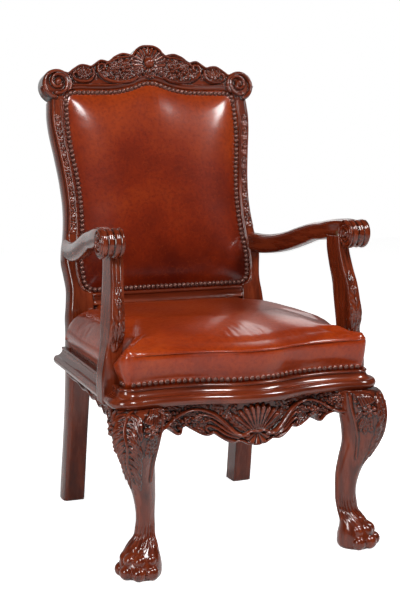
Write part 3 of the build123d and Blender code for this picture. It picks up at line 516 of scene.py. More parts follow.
def old_leather(name, light, middle, dark, foot_shade=0.0):
    """Glossy coloured leather: patina, mottling, crackle and grain; the last argument paints shade that
    darkens it low down and lightens it higher up.
    """
    nodes = Nodes(bpy.data.materials.new(name))
    where = nodes.position()
    patina = nodes.spread(nodes.noise(where, 7, 6, 0.62), 0.2, 0.8)
    height = nodes.add("ShaderNodeSeparateXYZ", {"Vector": where}, "Z")
    # Painted shade: the colour runs darker towards the foot of the back and paler towards its head.
    rise = nodes.spread(height, -foot_shade, foot_shade, BACK_SHADE_FOOT * MM, BACK_SHADE_HEAD * MM)
    colour = nodes.ramp(nodes.maths("ADD", patina, rise), (0.3, dark), (0.5, middle), (0.7, light))
    mottling = nodes.noise(where, 120, 5, 0.65)
    colour = nodes.mix(nodes.spread(mottling, 0.0, 0.5, 0.45, 0.7), colour, dark)
    warp = nodes.noise(where, 18, 5, 0.5, "Color")
    bent = nodes.add("ShaderNodeMix", {"Factor": 0.12, "A": where, "B": warp}, "Result", data_type="VECTOR")
    crackle = nodes.spread(nodes.cells(bent, 26), 0.28, 0.0, 0.0, 0.02)
    colour = nodes.mix(crackle, colour, light)
    creases = nodes.bump(nodes.noise(nodes.position((1, 1, 1.6)), 95, 4, 0.6), 0.16, 0.002)
    nodes.feed(nodes.shader, {"Base Color": colour,
                              "Roughness": nodes.spread(mottling, 0.22, 0.4),
                              "Normal": nodes.bump(nodes.cells(where, 420), 0.12, 0.0006, creases),
                              "Specular IOR Level": 0.08, "Coat Weight": 0.65, "Coat Roughness": 0.17})
    return nodes.owner


def plain_finish(name, first, second, scale, metal, rough, lift=0.1):
    """Two shades broken up by noise, for nails, steel and cloth."""
    nodes = Nodes(bpy.data.materials.new(name))
    spots = nodes.noise(nodes.position(), scale, 4, 0.6)
    nodes.feed(nodes.shader, {"Base Color": nodes.ramp(spots, (0.35, first), (0.65, second)),
                              "Roughness": nodes.spread(spots, *rough),
                              "Normal": nodes.bump(spots, lift, 0.0008), "Metallic": metal})
    return nodes.owner


ALONG_X = (0.08, 1, 1)
ALONG_Y = (1, 0.08, 1)
ALONG_Z = (1, 1, 0.08)
wood_x = wood_finish("mahogany_level", ALONG_X, MAHOGANY, 0.9)
wood_y = wood_finish("mahogany_deep", ALONG_Y, MAHOGANY, 0.9)
wood_z = wood_finish("mahogany_upright", ALONG_Z, MAHOGANY, 0.9)
rough_wood = wood_finish("frame_wood", ALONG_X, PLAIN_WOOD, 0.1)
seat_hide = old_leather("cognac_leather", (0.37, 0.052, 0.006), (0.265, 0.028, 0.0035),
                        (0.135, 0.010, 0.0015))
# Painted shade: the back's leather is a darker copy of the seat's leather, though both are the same hide.
shaded_back_hide = old_leather("cognac_leather_back_shaded", (0.245, 0.030, 0.0038), (0.150, 0.0125, 0.0016),
                        (0.062, 0.004, 0.0007), foot_shade=0.17)
bronze = plain_finish("nail_bronze", (0.085, 0.032, 0.024), (0.19, 0.080, 0.060), 160, 0.5, (0.2, 0.36))
steel = plain_finish("steel", (0.30, 0.30, 0.32), (0.48, 0.48, 0.50), 120, 1.0, (0.3, 0.5))
dark_cloth = plain_finish("dust_cloth", (0.010, 0.010, 0.011), (0.022, 0.021, 0.022), 420, 0.0, (0.85, 0.95),
                          lift=0.4)
NODE_FINISH = {"mahogany": wood_y, "frame_wood": rough_wood, "nail_bronze": bronze, "steel": steel,
               "leather": seat_hide, "hessian": rough_wood, "webbing": rough_wood, "stuffing": rough_wood,
               "dust_cloth": dark_cloth}

# Crest rail: scalloped top edge with scroll ears, seen on the raked back plane
EAR_X = 240.0
EAR_Z = 1022.0
EAR_RADIUS = 37.0
EAR_START = 213.0
EDGE_END = 222.0
STILE_TOP = 986.0
CREST_EDGE = [(0, 1121), (16, 1119.5), (30, 1112), (44, 1097), (54, 1099), (67, 1100.5), (88, 1093),
              (109, 1080), (118, 1082.5), (127, 1083), (140, 1075), (152, 1068), (164, 1070.5), (178, 1071),
              (197, 1061), (EAR_START, 1051), (EDGE_END, 1054.5)]
PANEL_HALF = [(0, PANEL_FOOT), (95, PANEL_FOOT), (190, PANEL_FOOT), (213, 537), (222, 560), (225, 597),
              (219, 645), (214, 735), (221, 830), (230, 915), (230.5, 950), (229, 980), (220, 1004),
              (195, 1012), (150, 1012.5), (105, 1013), (65, 1018.5), (28, 1030.5), (14.5, 1034.6), (0, 1036)]
PANEL_TOP_EDGE = [(0, 1036), (14.5, 1034.6), (28, 1030.5), (46, 1023.5), (65, 1018.5), (85, 1014.8),
                  (105, 1013), (150, 1012.5), (195, 1012), (208, 1009.5), (220, 1002), (227, 990), (229, 980)]


def ear_half(x):
    """Half the height of the ear's disc."""
    return np.sqrt(np.clip(EAR_RADIUS ** 2 - (x - EAR_X) ** 2, 0, None))


def crest_top(x):
    x = np.abs(x)
    ear = EAR_Z + ear_half(x)
    edge = np.maximum(curve(CREST_EDGE, x), np.where(x > EAR_START, ear, 0))
    return np.where(x < EDGE_END, edge, ear)


def crest_foot(x):
    x = np.abs(x)
    ear = EAR_Z - ear_half(x)
    return np.maximum(np.where(x < 254, curve(PANEL_TOP_EDGE, x), ear), STILE_TOP)


def crest_relief(x, z, foot):
    """The crest's carving: shell and ball in the middle, flowers in C scrolls, spiral ears."""
    side = np.abs(x)
    up = z - foot
    carving = Carving(side, z, 0.5)
    carving.foliage((20, 1034), (205, 1092), 150, 9, 5.5)
    over_panel = side < 232
    carving.h = np.where((up < 8) & over_panel, 6.0 * np.clip(up / 8, 0, 1) ** 2, carving.h)
    carving.raise_all(np.where(over_panel, 6.5 * np.exp(-((up - 8.5) / 2.2) ** 2), UNRAISED))
    ear_x = EAR_X + EAR_RADIUS * np.sin(np.linspace(-0.5, 1.55, 30))
    edge_x = np.concatenate([np.linspace(0, EDGE_END, 120), ear_x])
    carving.ridge(np.stack([edge_x, crest_top(edge_x)], 1) - (0, 3.2), 3.6, 9.0)
    carving.fan((0, 1073), 17, 43, -12, 192, 13, 9.5)
    carving.fan((0, 1077), 13, 24, -90, 270, 14, 6)
    carving.ball((0, 1077), 14.5, 17)
    carving.beads([(0, 1051), (30, 1051)], 3.1, 8)
    carving.fan((0, 1054), 4, 17, -164, -16, 5, 8)
    for root, tip in [((18, 1056), (40, 1042)), ((20, 1062), (44, 1056)), ((22, 1070), (46, 1074)),
                      ((22, 1082), (42, 1092))]:
        carving.leaf(bent_spine(root, tip, 0, 3), 7, 9)
    scroll = [(34, 1040), (52, 1031.5), (76, 1028), (102, 1030), (124, 1040), (135, 1056), (131, 1069),
              (120, 1071), (116, 1062), (122, 1058)]
    carving.ridge(path_through(scroll), 4.8, 11.5, 3.4)
    carving.ridge(path_through([(40, 1094), (56, 1090), (78, 1088), (98, 1078), (114, 1071)]), 2.8, 8)
    for root, tip, wide in [((66, 1064), (46, 1082), 8), ((68, 1066), (74, 1088), 8),
                            ((66, 1058), (48, 1044), 8), ((92, 1058), (112, 1050), 8),
                            ((90, 1062), (106, 1076), 8), ((78, 1054), (82, 1036), 7),
                            ((92, 1052), (104, 1038), 7), ((60, 1050), (66, 1036), 6),
                            ((84, 1066), (90, 1082), 7)]:
        carving.leaf(bent_spine(root, tip, 3, 3), wide, 9.5)
    carving.flower((66, 1061), 12, 12.5)
    carving.flower((92, 1056), 10, 11.5, turn=60)
    carving.flower((78, 1046), 7.5, 10.5, turn=30)
    for berry in [(107, 1062), (102, 1068), (80, 1072), (53, 1066), (56, 1055), (82, 1060)]:
        carving.ball(berry, 3.8, 10)
    second_scroll = [(146, 1058), (148, 1042), (160, 1031), (180, 1029), (197, 1036), (197, 1048),
                     (187, 1050), (184, 1043)]
    carving.ridge(path_through(second_scroll), 4.0, 10.5, 3.0)
    carving.fan((170, 1037), 4, 25, 25, 160, 7, 9)
    carving.leaves([([(148, 1062), (164, 1066), (184, 1062)], 6),
                    ([(184, 1060), (198, 1054), (208, 1044)], 6),
                    ([(204, 1036), (208, 1022), (206, 1012)], 7)], 8)
    ear = np.hypot(side - EAR_X, z - EAR_Z) < EAR_RADIUS
    carving.h = np.where(ear & (side > 208), np.minimum(carving.h, 2.0), carving.h)
    carving.ridge(spiral((EAR_X, EAR_Z), EAR_RADIUS - 4.5, EAR_RADIUS - 5.5, 215, -75, 90), 5.0, 10)
    carving.ridge(spiral((EAR_X - 2, EAR_Z + 5), 27, 9, -75, -500, 140), 5.2, 9.5, 4.0)
    carving.ball((EAR_X - 2, EAR_Z + 6), 9, 14)
    return carving.h


def build_crest():
    """Columns from ear to ear, each a closed ring: carved front, top, back and underside."""
    inner = np.linspace(0, EAR_START, 170)
    outer = EAR_X + EAR_RADIUS * np.sin(np.linspace(-0.79, 1.5, 56))
    half = np.concatenate([inner, outer[outer > EAR_START + 1]])
    x = np.concatenate([-half[::-1], half[1:]])[:, None]
    foot = crest_foot(x)
    top = np.maximum(crest_top(x), foot + 0.5)
    z = foot + (top - foot) * np.linspace(0, 1, 96)
    wide = np.broadcast_to(x, z.shape)
    relief = crest_relief(wide, z, foot)
    front = on_back(wide, z, relief * edge_fade(top - z, 1.2))
    back = on_back(x, np.concatenate([top, foot], 1), -FRAME_DEPTH)
    return tube_piece("crest_carved", np.concatenate([front, back], 1), with_plain(hollows(relief), 2))


# Rear posts: straight raked leg below, carved stile above
STILE_EDGE = [(0, 252), (330, 250), (430, 254), (475, 254), (505, 251), (545, 247.5), (575, 250.5),
              (605, 254), (630, 252), (665, 245), (735, 238.5), (790, 241), (860, 249.5), (920, 258),
              (950, 259.5), (STILE_TOP, 257)]
LEG_INNER = [(0, 204), (300, 200), (440, 196), (500, 196)]
PANEL_SIDE = [(PANEL_FOOT, 190), (532, 205), (537, 213), (546, 219), (560, 222), (597, 225), (645, 219),
              (735, 214), (830, 221), (915, 230), (950, 230.5), (STILE_TOP, 229)]


def bend_share(z):
    """Nothing on the leg, one on the back, with a soft change at the bend."""
    return smoothstep(BEND_Z - BEND_HALF, BEND_Z + BEND_HALF, z)


def post_front(z):
    """Front line of the rear post from the side."""
    leg = BEND_Y + (BEND_Z - z) * math.tan(LEG_RAKE)
    soft = 6 * np.clip(1 - np.abs(z - BEND_Z) / BEND_HALF, 0, 1) ** 2
    return leg + (back_face(z) - leg) * bend_share(z) + soft


def build_rear_post(sign):
    """Rows from the floor up, each a closed ring: carved front, outer side, back and inner side."""
    z = np.concatenate([np.linspace(0, 8, 5), np.linspace(16, 500, 70), np.linspace(502, STILE_TOP, 330)])
    leg = z < PANEL_FOOT
    outer = curve(STILE_EDGE, z)
    inner = np.where(leg, curve(LEG_INNER, z), np.maximum(curve(PANEL_SIDE, z), POST_INNER_X))
    wide = inner[:, None] + (outer - inner)[:, None] * np.linspace(0, 1, 34)
    tall = np.broadcast_to(z[:, None], wide.shape)
    from_edge = wide - inner[:, None]
    to_rim = outer[:, None] - wide
    above_arm = smoothstep(664, 672, tall)
    carving = Carving(from_edge, tall)
    carving.raise_all(3.0 * round_bead(from_edge, 4.2, 2.4) * smoothstep(528, 536, tall))
    carving.raise_all(4.5 * round_bead(to_rim, 3.4, 3.2) * above_arm)
    for level in np.arange(690, 975, 36.0):
        middle = float(np.interp(level, z, outer - inner)) / 2 + 1.0
        carving.flower((middle, level), 6.6, 5.5)
        for turn in (-1, 1):
            spine = [(middle, level - 6), (middle + 3.5 * turn, level - 14), (middle, level - 23)]
            carving.leaf(path_through(spine), 4.5, 4.6, 3)
        carving.ball((middle, level - 27), 2.6, 4.2)
    relief = carving.h * np.where(from_edge > 7.5, above_arm, 1)
    outer_round = 5.0 * np.clip(1 - to_rim / 7, 0, 1) ** 2
    inner_round = 2.5 * np.clip(1 - from_edge / 4, 0, 1) ** 2 * (tall < PANEL_FOOT)
    proud = relief - (outer_round + inner_round)
    lean = BACK_RAKE * bend_share(tall)
    foot_round = 3.0 * np.clip(1 - tall / 8, 0, 1) ** 2
    front = np.stack([wide, post_front(tall) - proud * np.cos(lean) + foot_round,
                      tall + proud * np.sin(lean) * (tall > 20)], -1)

    def column(x, deep):
        return np.stack([x, post_front(z) + deep * np.cos(lean[:, 0]),
                         np.maximum(z - deep * np.sin(lean[:, 0]), 0)], -1)[:, None]

    back = POST_DEPTH + 4.0
    rebate = np.where(leg, 0.0, REBATE + 1.5)
    inner_wall = np.where(leg, inner, POST_INNER_X)
    walls = [column(outer + 3.0 * math.sin(math.pi * at), back * at) for at in np.linspace(0.14, 0.88, 8)]
    walls += [column(outer - 1.5, back), column(inner_wall + 3, back)]
    walls += [column(inner_wall, deep) for deep in (back - 3, back - 7, rebate + 7.0)]
    walls.append(column(inner, rebate + 3.5))
    hollow_shade = with_plain(hollows(relief, 4, 1.4), len(walls))
    return side_piece("rear_post_carved", sign, np.concatenate([front] + walls, 1), hollow_shade)


# Front apron: a scallop shell between scrolls, on the serpentine front
APRON_HALF = 228.0
APRON_EDGE = [(0, 258), (6, 258), (10, 260), (14, 259.5), (22, 261.5), (30, 266), (37, 268.5), (43, 267.5),
              (50, 266), (57, 266.5), (68, 271), (80, 279), (90, 286.5), (96, 283.5), (103, 282),
              (112, 283.5), (125, 290), (140, 299), (152, 304.5), (157, 300), (160, 290), (165, 286.5),
              (172, 289), (184, 299), (199, 306), (210, 304), (218, 298), (APRON_HALF, 292)]
KNEE_FLARE = 30.0


def apron_relief(side, z):
    """The apron's carving on one half: shell, pendant, S scroll, leaf strands and flowers."""
    carving = Carving(side, z, 0.3 * np.sin(side * 1.9) * np.sin(z * 2.1))
    carving.foliage((96, 306), (226, 350), 90, 9, 5.5)
    carving.foliage((44, 322), (100, 352), 26, 9, 5.5)
    reach = np.linspace(0, APRON_HALF, 170)
    carving.ridge(np.stack([reach, curve(APRON_EDGE, reach) + 3.2], 1), 3.6, 7.0)
    carving.fan((0, 281), 8, 69, 36, 144, 9, 12.5)
    carving.fan((0, 289), 5, 31, -166, -14, 5, 11)
    carving.ridge(path_through([(0, 289), (12, 291), (24, 287), (32, 281)]), 4.5, 12, 3.0)
    long_scroll = [(22, 284), (36, 283), (50, 291), (66, 308), (88, 328), (112, 338.5), (134, 340),
                   (158, 333), (184, 320), (206, 311), (222, 312)]
    carving.ridge(path_through(long_scroll), 4.8, 13, 3.6)
    for strand in [[(38, 281), (60, 291), (80, 306), (96, 316), (106, 314)],
                   [(42, 278), (64, 285), (84, 298), (100, 304), (106, 298), (101, 292)],
                   [(50, 271.5), (70, 278), (88, 290), (98, 289)],
                   [(60, 298), (78, 314), (98, 326), (116, 328)]]:
        carving.ridge(path_through(strand), 4.2, 10, 2.8)
    curl = [(196, 309), (180, 301), (168, 291), (160, 293), (159, 301), (165, 303)]
    carving.ridge(path_through(curl), 3.6, 10)
    carving.leaves([([(24, 292), (40, 306), (50, 322)], 8), ([(36, 298), (54, 318), (62, 338)], 9),
                    ([(20, 290), (30, 306), (36, 318)], 7), ([(134, 312), (122, 322), (110, 326)], 8),
                    ([(150, 326), (136, 334), (122, 334)], 7), ([(160, 316), (176, 312), (190, 304)], 8),
                    ([(130, 300), (118, 296), (106, 288)], 7), ([(176, 330), (196, 338), (216, 334)], 8),
                    ([(160, 342), (182, 348), (206, 346)], 7), ([(104, 344), (128, 350), (150, 346)], 7),
                    ([(200, 326), (212, 322), (226, 326)], 7)], 9)
    carving.flower((150, 314), 12.5, 12)
    carving.flower((194, 331), 9.5, 10.5, turn=60)
    carving.flower((216, 340), 8.5, 10, turn=20)
    for berry in [(134, 321), (138, 305), (165, 323), (180, 338), (178, 327), (207, 330), (168, 336)]:
        carving.ball(berry, 4.0, 10)
    return carving.h


def apron_fade(z, edge):
    """Relief of an apron dies out at its lower edge and at its top."""
    return edge_fade(z - edge, 1.5) * edge_fade(APRON_TOP - z, 1.5)


def build_apron():
    """Columns across the front, each a closed ring: carved face, lower edge and back."""
    x = np.linspace(-APRON_HALF, APRON_HALF, 391)[:, None]
    edge = curve(APRON_EDGE, np.abs(x))
    z = edge + (APRON_TOP - edge) * np.linspace(0, 1, 80)
    wide = np.broadcast_to(x, z.shape)
    relief = apron_relief(np.abs(wide), z)
    flare = KNEE_FLARE * smoothstep(168, 232, np.abs(wide)) ** 1.3
    base = front_y(wide, APRON_OUT - 9) - flare
    lean = np.gradient(base, axis=0) / np.gradient(wide, axis=0)
    size = np.sqrt(1 + lean ** 2)
    proud = relief * apron_fade(z, edge)
    front = np.stack([wide + proud * lean / size, base - proud / size, z], -1)
    levels = np.concatenate([np.full(edge.shape, APRON_TOP), edge], 1)
    back = np.stack(np.broadcast_arrays(x, front_y(x) + RAIL_THICKNESS, levels), -1)
    return tube_piece("apron_carved", np.concatenate([front, back], 1), with_plain(hollows(relief), 2))


# Front legs: sections along the diagonal from the paw's middle; each is (height, outer, inner, half width)
FOOT_X = 262.0
FOOT_Y = -298.7
LEG_SECTIONS = [(0, 25, -46, 40), (4, 29, -49, 43), (15, 32, -51, 45), (30, 30, -50, 44), (47, 20, -46, 40),
                (62, 7, -46, 33), (78, -6, -51, 22), (100, -11, -56, 18), (130, -11, -59, 18.5),
                (165, -3, -58, 21.5), (200, 14, -52, 26), (235, 34, -45, 31), (268, 47, -46, 39),
                (300, 50, -50, 45), (330, 43, -50, 47), (354, 32, -50, 46)]
LEG_POST = (222.5, -249.2)
LEG_POST_HALF = 26.0

# Toes: angles round the paw, and three joints each of (reach, height, radius)
TOE_ANGLES = (-63, -21, 21, 63)
TOE_JOINTS = ((38, 15, 16), (29, 39, 15), (18, 58, 12))


def toe(angle, z, centre_angle, reach, height, radius):
    """Distance from the paw's axis to the far side of a round toe."""
    turn = np.radians(angle - centre_angle)
    level = np.clip(radius ** 2 - (z - height) ** 2, 0, None)
    inside = level - (reach * np.sin(turn)) ** 2
    hit = (inside > 0) & (np.cos(turn) > 0)
    return np.where(hit, reach * np.cos(turn) + np.sqrt(np.clip(inside, 0, None)), 0)


def build_front_leg(sign):
    """Rings up the leg round the diagonal; the knee's leaves, the fur and the toes are radial relief."""
    z = np.concatenate([np.linspace(0, 80, 74), np.linspace(81.5, 353, 200)])
    angle = np.linspace(-180, 180, 240, endpoint=False)
    deg = np.broadcast_to(angle, (len(z), len(angle)))
    rad = np.radians(deg)
    tall = np.broadcast_to(z[:, None], deg.shape)
    outer, inner, half = columns_at(LEG_SECTIONS, z)
    depth = (outer - inner) / 2
    square = 2.2 + 0.5 * smoothstep(250, 350, tall)
    lengthwise = np.abs(np.cos(rad)) / depth
    crosswise = np.abs(np.sin(rad)) / half
    radius = (lengthwise ** square + crosswise ** square) ** (-1 / square)
    for at in TOE_ANGLES:
        for joint in TOE_JOINTS:
            radius = np.maximum(radius, toe(deg, tall, at, *joint))
    carving = Carving(rad * (0.5 * (half + depth)), tall)
    stem = path_through([(3, 353), (5, 322), (-2, 286), (2, 246), (0, 204)])
    carving.ridge(stem, 4.4, 7.5, 1.8)
    for pair in range(11):
        level = 350 - 12.5 * pair
        root = float(np.interp(level, stem[::-1, 1], stem[::-1, 0]))
        for turn in (-1, 1):
            reach = (34 - 2.3 * pair) * (1 + 0.12 * turn * math.cos(2.4 * pair))
            bends = ((1.5, 0), (0.5 * reach, 6), (0.9 * reach, 20), (0.95 * reach, 38))
            spine = path_through([(root + out * turn, level - drop) for out, drop in bends])
            carving.leaf(spine, 8.0 - 0.35 * pair, 9.0 - 0.3 * pair, 2)
    for turn in (-1, 1):
        border = path_through([(76, 350), (82, 318), (72, 278), (54, 242), (34, 204)])
        carving.ridge(border * (turn, 1), 4, 7, 2.5)
        for at in range(6):
            root = 34 + 5 * at
            blade = path_through([(root, 338 - 2 * at), (root + 2, 346), (root + 6, 353)])
            carving.ridge(blade * (turn, 1), 3.6, 6.5, 2.0)
        for root, tip in [((44, 300), (34, 266)), ((50, 300), (47, 262)), ((56, 304), (60, 268)),
                          ((62, 312), (74, 290))]:
            carving.leaf(bent_spine(root, tip, 4, 0) * (turn, 1), 7, 8.5)
        carving.flower((47 * turn, 317), 16, 13, 6)
        carving.ball((66 * turn, 326), 4.5, 8)
        carving.ball((70 * turn, 336), 4, 7)
    fur = smoothstep(52, 72, tall) * smoothstep(132, 92, tall)
    strands = np.abs(np.sin(rad * 9 + tall * 0.06 + np.sin(tall * 0.09) * 0.8))
    relief = carving.h + 1.8 * fur * strands
    radius = radius + relief * smoothstep(354, 346, tall)
    along = (outer + inner) / 2 + radius * np.cos(rad)
    across = radius * np.sin(rad)
    x = FOOT_X + (along + across) * math.sqrt(0.5)
    y = FOOT_Y + (-along + across) * math.sqrt(0.5)
    corner = np.radians(angle + 45)
    post_x = LEG_POST[0] + LEG_POST_HALF * np.clip(math.sqrt(2) * np.sin(corner), -1, 1)
    post_y = LEG_POST[1] + LEG_POST_HALF * np.clip(math.sqrt(2) * -np.cos(corner), -1, 1)
    post_y = np.maximum(post_y, front_y(post_x, -1))
    post = [np.stack(np.broadcast_arrays(post_x, post_y, level), -1) for level in (353.5, RAIL_TOP)]
    rings = np.concatenate([np.stack([x, y, tall], -1), post])
    hollow_shade = np.concatenate([hollows(relief), np.zeros((len(post), len(angle)))])
    return side_piece("front_leg_carved", sign, rings, hollow_shade)


# Arms: a strap from the rear post to a reeded roll; each row is (depth, height, side, width, tall)
ARM_SECTIONS = [(250, 631, 238, 34, 47), (180, 631, 247, 34, 47), (117, 638, 256, 34, 46),
                (60, 650, 263, 35, 45), (0, 667, 269, 36, 44), (-45, 679, 273, 38, 41),
                (-87, 685, 277, 40, 42), (-130, 693, 281, 43, 42), (-170, 697.5, 285.5, 41, 41),
                (-206, 700, 287, 37, 35)]
ROLL = np.array([287.0, -205.0, 687.0])
ROLL_RADIUS = 32.0
ROLL_HALF = 24.5


def rounded_ring(width, tall):
    """A soft-cornered section as two rows of offsets, across and up."""
    angle = np.linspace(0, 2 * math.pi, 72, endpoint=False)
    cos = np.cos(angle)
    sin = np.sin(angle)
    power = 2 / 3.6
    across = width / 2 * np.sign(cos) * np.abs(cos) ** power
    up = tall / 2 * np.sign(sin) * np.abs(sin) ** power
    return across, up


def build_arm(sign):
    """Rings across the arm's line, which is smooth from the post to the roll."""
    line = path_through(ARM_SECTIONS, 10)
    heading = unit(np.gradient(line[:, :2], axis=0))
    rings = []
    for (y, z, x, width, tall), (run, climb) in zip(line, heading):
        across, up = rounded_ring(width, tall)
        groove = 1.3 * np.exp(-((np.abs(across) / (width / 2) - 0.72) / 0.1) ** 2) * (up > 0)
        up = up - groove
        rings.append(np.stack([x + across, y + up * climb, z - up * run], 1))
    return side_piece("arm_shaped", sign, rings)


def build_roll(sign):
    """The arm's rolled end: a reeded barrel between two spiral faces."""
    turn = np.radians(np.linspace(0, 360, 120, endpoint=False))
    r, angle = np.meshgrid(np.linspace(1.0, ROLL_RADIUS - 1.5, 40), turn, indexing="ij")
    face = Carving(r * np.cos(angle), r * np.sin(angle))
    face.ridge(spiral((0, 0), ROLL_RADIUS - 5, 8, 100, 760, 160), 5.0, 5.5, 3.4)
    face.ball((0, 0), 7, 7)
    proud = ROLL_HALF - 3.0 + face.h
    inner_face = np.stack([-proud, face.x, face.y], -1)
    outer_face = np.stack([proud, face.x, face.y], -1)
    across = np.linspace(-ROLL_HALF, ROLL_HALF, 64)[:, None]
    reed = np.abs(np.sin(math.pi * 3.5 * (across / ROLL_HALF + 1) / 2 + math.pi / 2)) ** 0.7
    scale = 0.5 + 0.5 * np.abs(np.sin(turn * 9))
    edge = np.clip(np.abs(across) / ROLL_HALF - 0.93, 0, 1) / 0.07
    radius = ROLL_RADIUS - 3.4 * (1 - reed) - 1.6 * np.exp(-(across / 9) ** 2) * scale - 2.2 * edge ** 2
    barrel = np.stack(np.broadcast_arrays(across, radius * np.cos(turn), radius * np.sin(turn)), -1)
    shade = hollows(face.h, 4, 1.6)
    # Painted shade in the grooves between the reeds.
    groove_shade = np.clip((ROLL_RADIUS - 1.6 - radius) / 2.4, 0, 1)
    rings = np.concatenate([inner_face, barrel, outer_face[::-1]])
    return side_piece("arm_roll", sign, rings + ROLL, np.concatenate([shade, groove_shade, shade[::-1]]))


# Arm posts: each row is (height, side, depth, width, deep); fluted above, a leaf on the lower half
POST_SECTIONS = [(APRON_TOP, 290, -199, 40, 46), (414, 290, -199, 40, 46), (446, 286, -197, 37, 49),
                 (475, 281, -194, 35, 56), (495, 280, -195, 34, 67), (515, 279, -195, 33, 74),
                 (545, 277, -191, 31, 75), (575, 275, -186, 29, 73), (615, 270, -175, 28.5, 66),
                 (655, 267, -165, 28, 60), (692, 267, -162, 28, 54)]


def build_arm_post(sign):
    """Rings up the post: a carved front, plain sides and back."""
    z = np.linspace(APRON_TOP, 680, 260)
    x, y, width, deep = columns_at(POST_SECTIONS, z)
    share = np.linspace(-1, 1, 44)
    across = width / 2 * share
    tall = np.broadcast_to(z[:, None], across.shape)
    carving = Carving(across, tall)
    carving.raise_all(2.6 * np.abs(np.cos(math.pi * 1.5 * share)) ** 0.8 * smoothstep(470, 500, tall))
    carving.leaf(path_through([(0, 468), (0, 540), (0, 606)]), 15, 8.5, 6)
    for turn in (-1, 1):
        carving.leaf(path_through([(3 * turn, 470), (12 * turn, 500), (9 * turn, 545)]), 8, 6.5)
        carving.leaf(path_through([(2 * turn, 470), (8 * turn, 486), (14 * turn, 505)]), 6, 6.0, 3)
    carving.flower((0, 566), 8, 8)
    corner = 5.0 * np.clip((np.abs(share) - 0.82) / 0.18, 0, 1) ** 2
    front = np.stack([x + across, y - deep / 2 - carving.h + corner, tall], -1)

    def column(reach, depth):
        return np.stack([x + reach * width / 2, y + depth * deep / 2, z[:, None]], -1)

    walls = [column(1, at) for at in np.linspace(-0.7, 0.8, 8)]
    walls += [column(0.8, 1.0), column(-0.8, 1.0)]
    walls += [column(-1, at) for at in np.linspace(0.8, -0.7, 8)]
    hollow_shade = with_plain(hollows(carving.h, 4, 1.6), len(walls))
    return side_piece("arm_post_carved", sign, np.concatenate([front] + walls, 1), hollow_shade)


# Soft seat: a nailed border that bulges, a welt along the front, and a crowned top
ARM_FOOT_Y = -199.2
ARM_CLEAR_X = 260.0


def seat_loop(out):
    """Half of the seat's plan line from the middle of the front to the middle of the back."""
    corner_x = float(side_x(CORNER_Y, 0)) + out
    corner_y = float(front_y(corner_x, out))
    cut = CORNER_RADIUS + 1.8 * max(out, -5)
    front = np.linspace(0, corner_x - cut, 70)
    line = [np.stack([front, front_y(front, out)], 1)]
    t = np.linspace(0, 1, 12)[1:-1, None]
    start = line[0][-1]
    end = np.array([float(side_x(corner_y + cut, out)), corner_y + cut])
    line.append((1 - t) ** 2 * start + 2 * t * (1 - t) * np.array([corner_x, corner_y]) + t ** 2 * end)
    side = np.linspace(corner_y + cut, POST_FRONT_Y - 2, 90)
    line.append(np.stack([side_x(side, out), side], 1))
    inner = np.linspace(float(side_x(POST_FRONT_Y, out)) - 4, POST_INNER_X - 1, 12)
    line.append(np.stack([inner, np.full(12, POST_FRONT_Y - 2)], 1))
    deep = np.linspace(POST_FRONT_Y + 4, SEAT_BACK_Y + 1, 9)
    line.append(np.stack([np.full(9, POST_INNER_X - 1), deep], 1))
    rear = np.linspace(POST_INNER_X - 8, 0, 36)
    line.append(np.stack([rear, np.full(36, SEAT_BACK_Y + 1)], 1))
    return np.concatenate(line)


# Rows of (height, out) up the border, at the front and at the sides
FRONT_BORDER = [(394, 1.6), (406, 1.8), (410, 3.2), (418, 7), (431, 11.5), (448, 14), (458, 14.5),
                (462, 13.5), (466, 9), (469, 1), (471.5, -9)]
SIDE_BORDER = [(394, 1.6), (406, 1.8), (410.5, 3.6), (421, 10), (436, 15.5), (450, 15.5), (465, 11), (477, 3),
               (486, -8), (492.5, -22), (496.5, -38)]
FRONT_BLEND = (-240.0, -274.0)
SEAT_MIDDLE = np.array([0.0, -30.0])
REAR_RISE = 1.5
CORNER_REACH = 45.0
CORNER_EASE = np.array([-4.0, 3.0])
CORNER_LIFT = 9.0
REAR_ROUND_Y = 138.0
POST_DIP = 38.0
TOP_ROUND = 60.0


def near_corner(base):
    """One at the seat's front corner, and less with the distance from it."""
    gap = np.hypot(base[:, 0] - FRONT_HALF, base[:, 1] - CORNER_Y)
    return np.exp(-(gap / CORNER_REACH) ** 2)[:, None]


def seat_top(plan):
    """Height of the seat's top: it leaves each edge at that edge's level and swells to the crown."""
    x = np.abs(plan[:, 0])
    y = plan[:, 1]
    edges = [(side_x(y, SIDE_BORDER[-1][1]) - x, SIDE_BORDER[-1][0]),
             (y - front_y(x, FRONT_BORDER[-1][1]), FRONT_BORDER[-1][0]),
             (SEAT_BACK_Y - y, SIDE_BORDER[-1][0] + REAR_RISE)]
    pulls = [pull(gap) for gap, _ in edges]
    level = sum(weight * edge[1] for weight, edge in zip(pulls, edges)) / sum(pulls)
    inward = sum(pulls) ** (-1 / 3)
    return level + (SEAT_CROWN - level) * (1 - np.exp(-inward / TOP_ROUND))


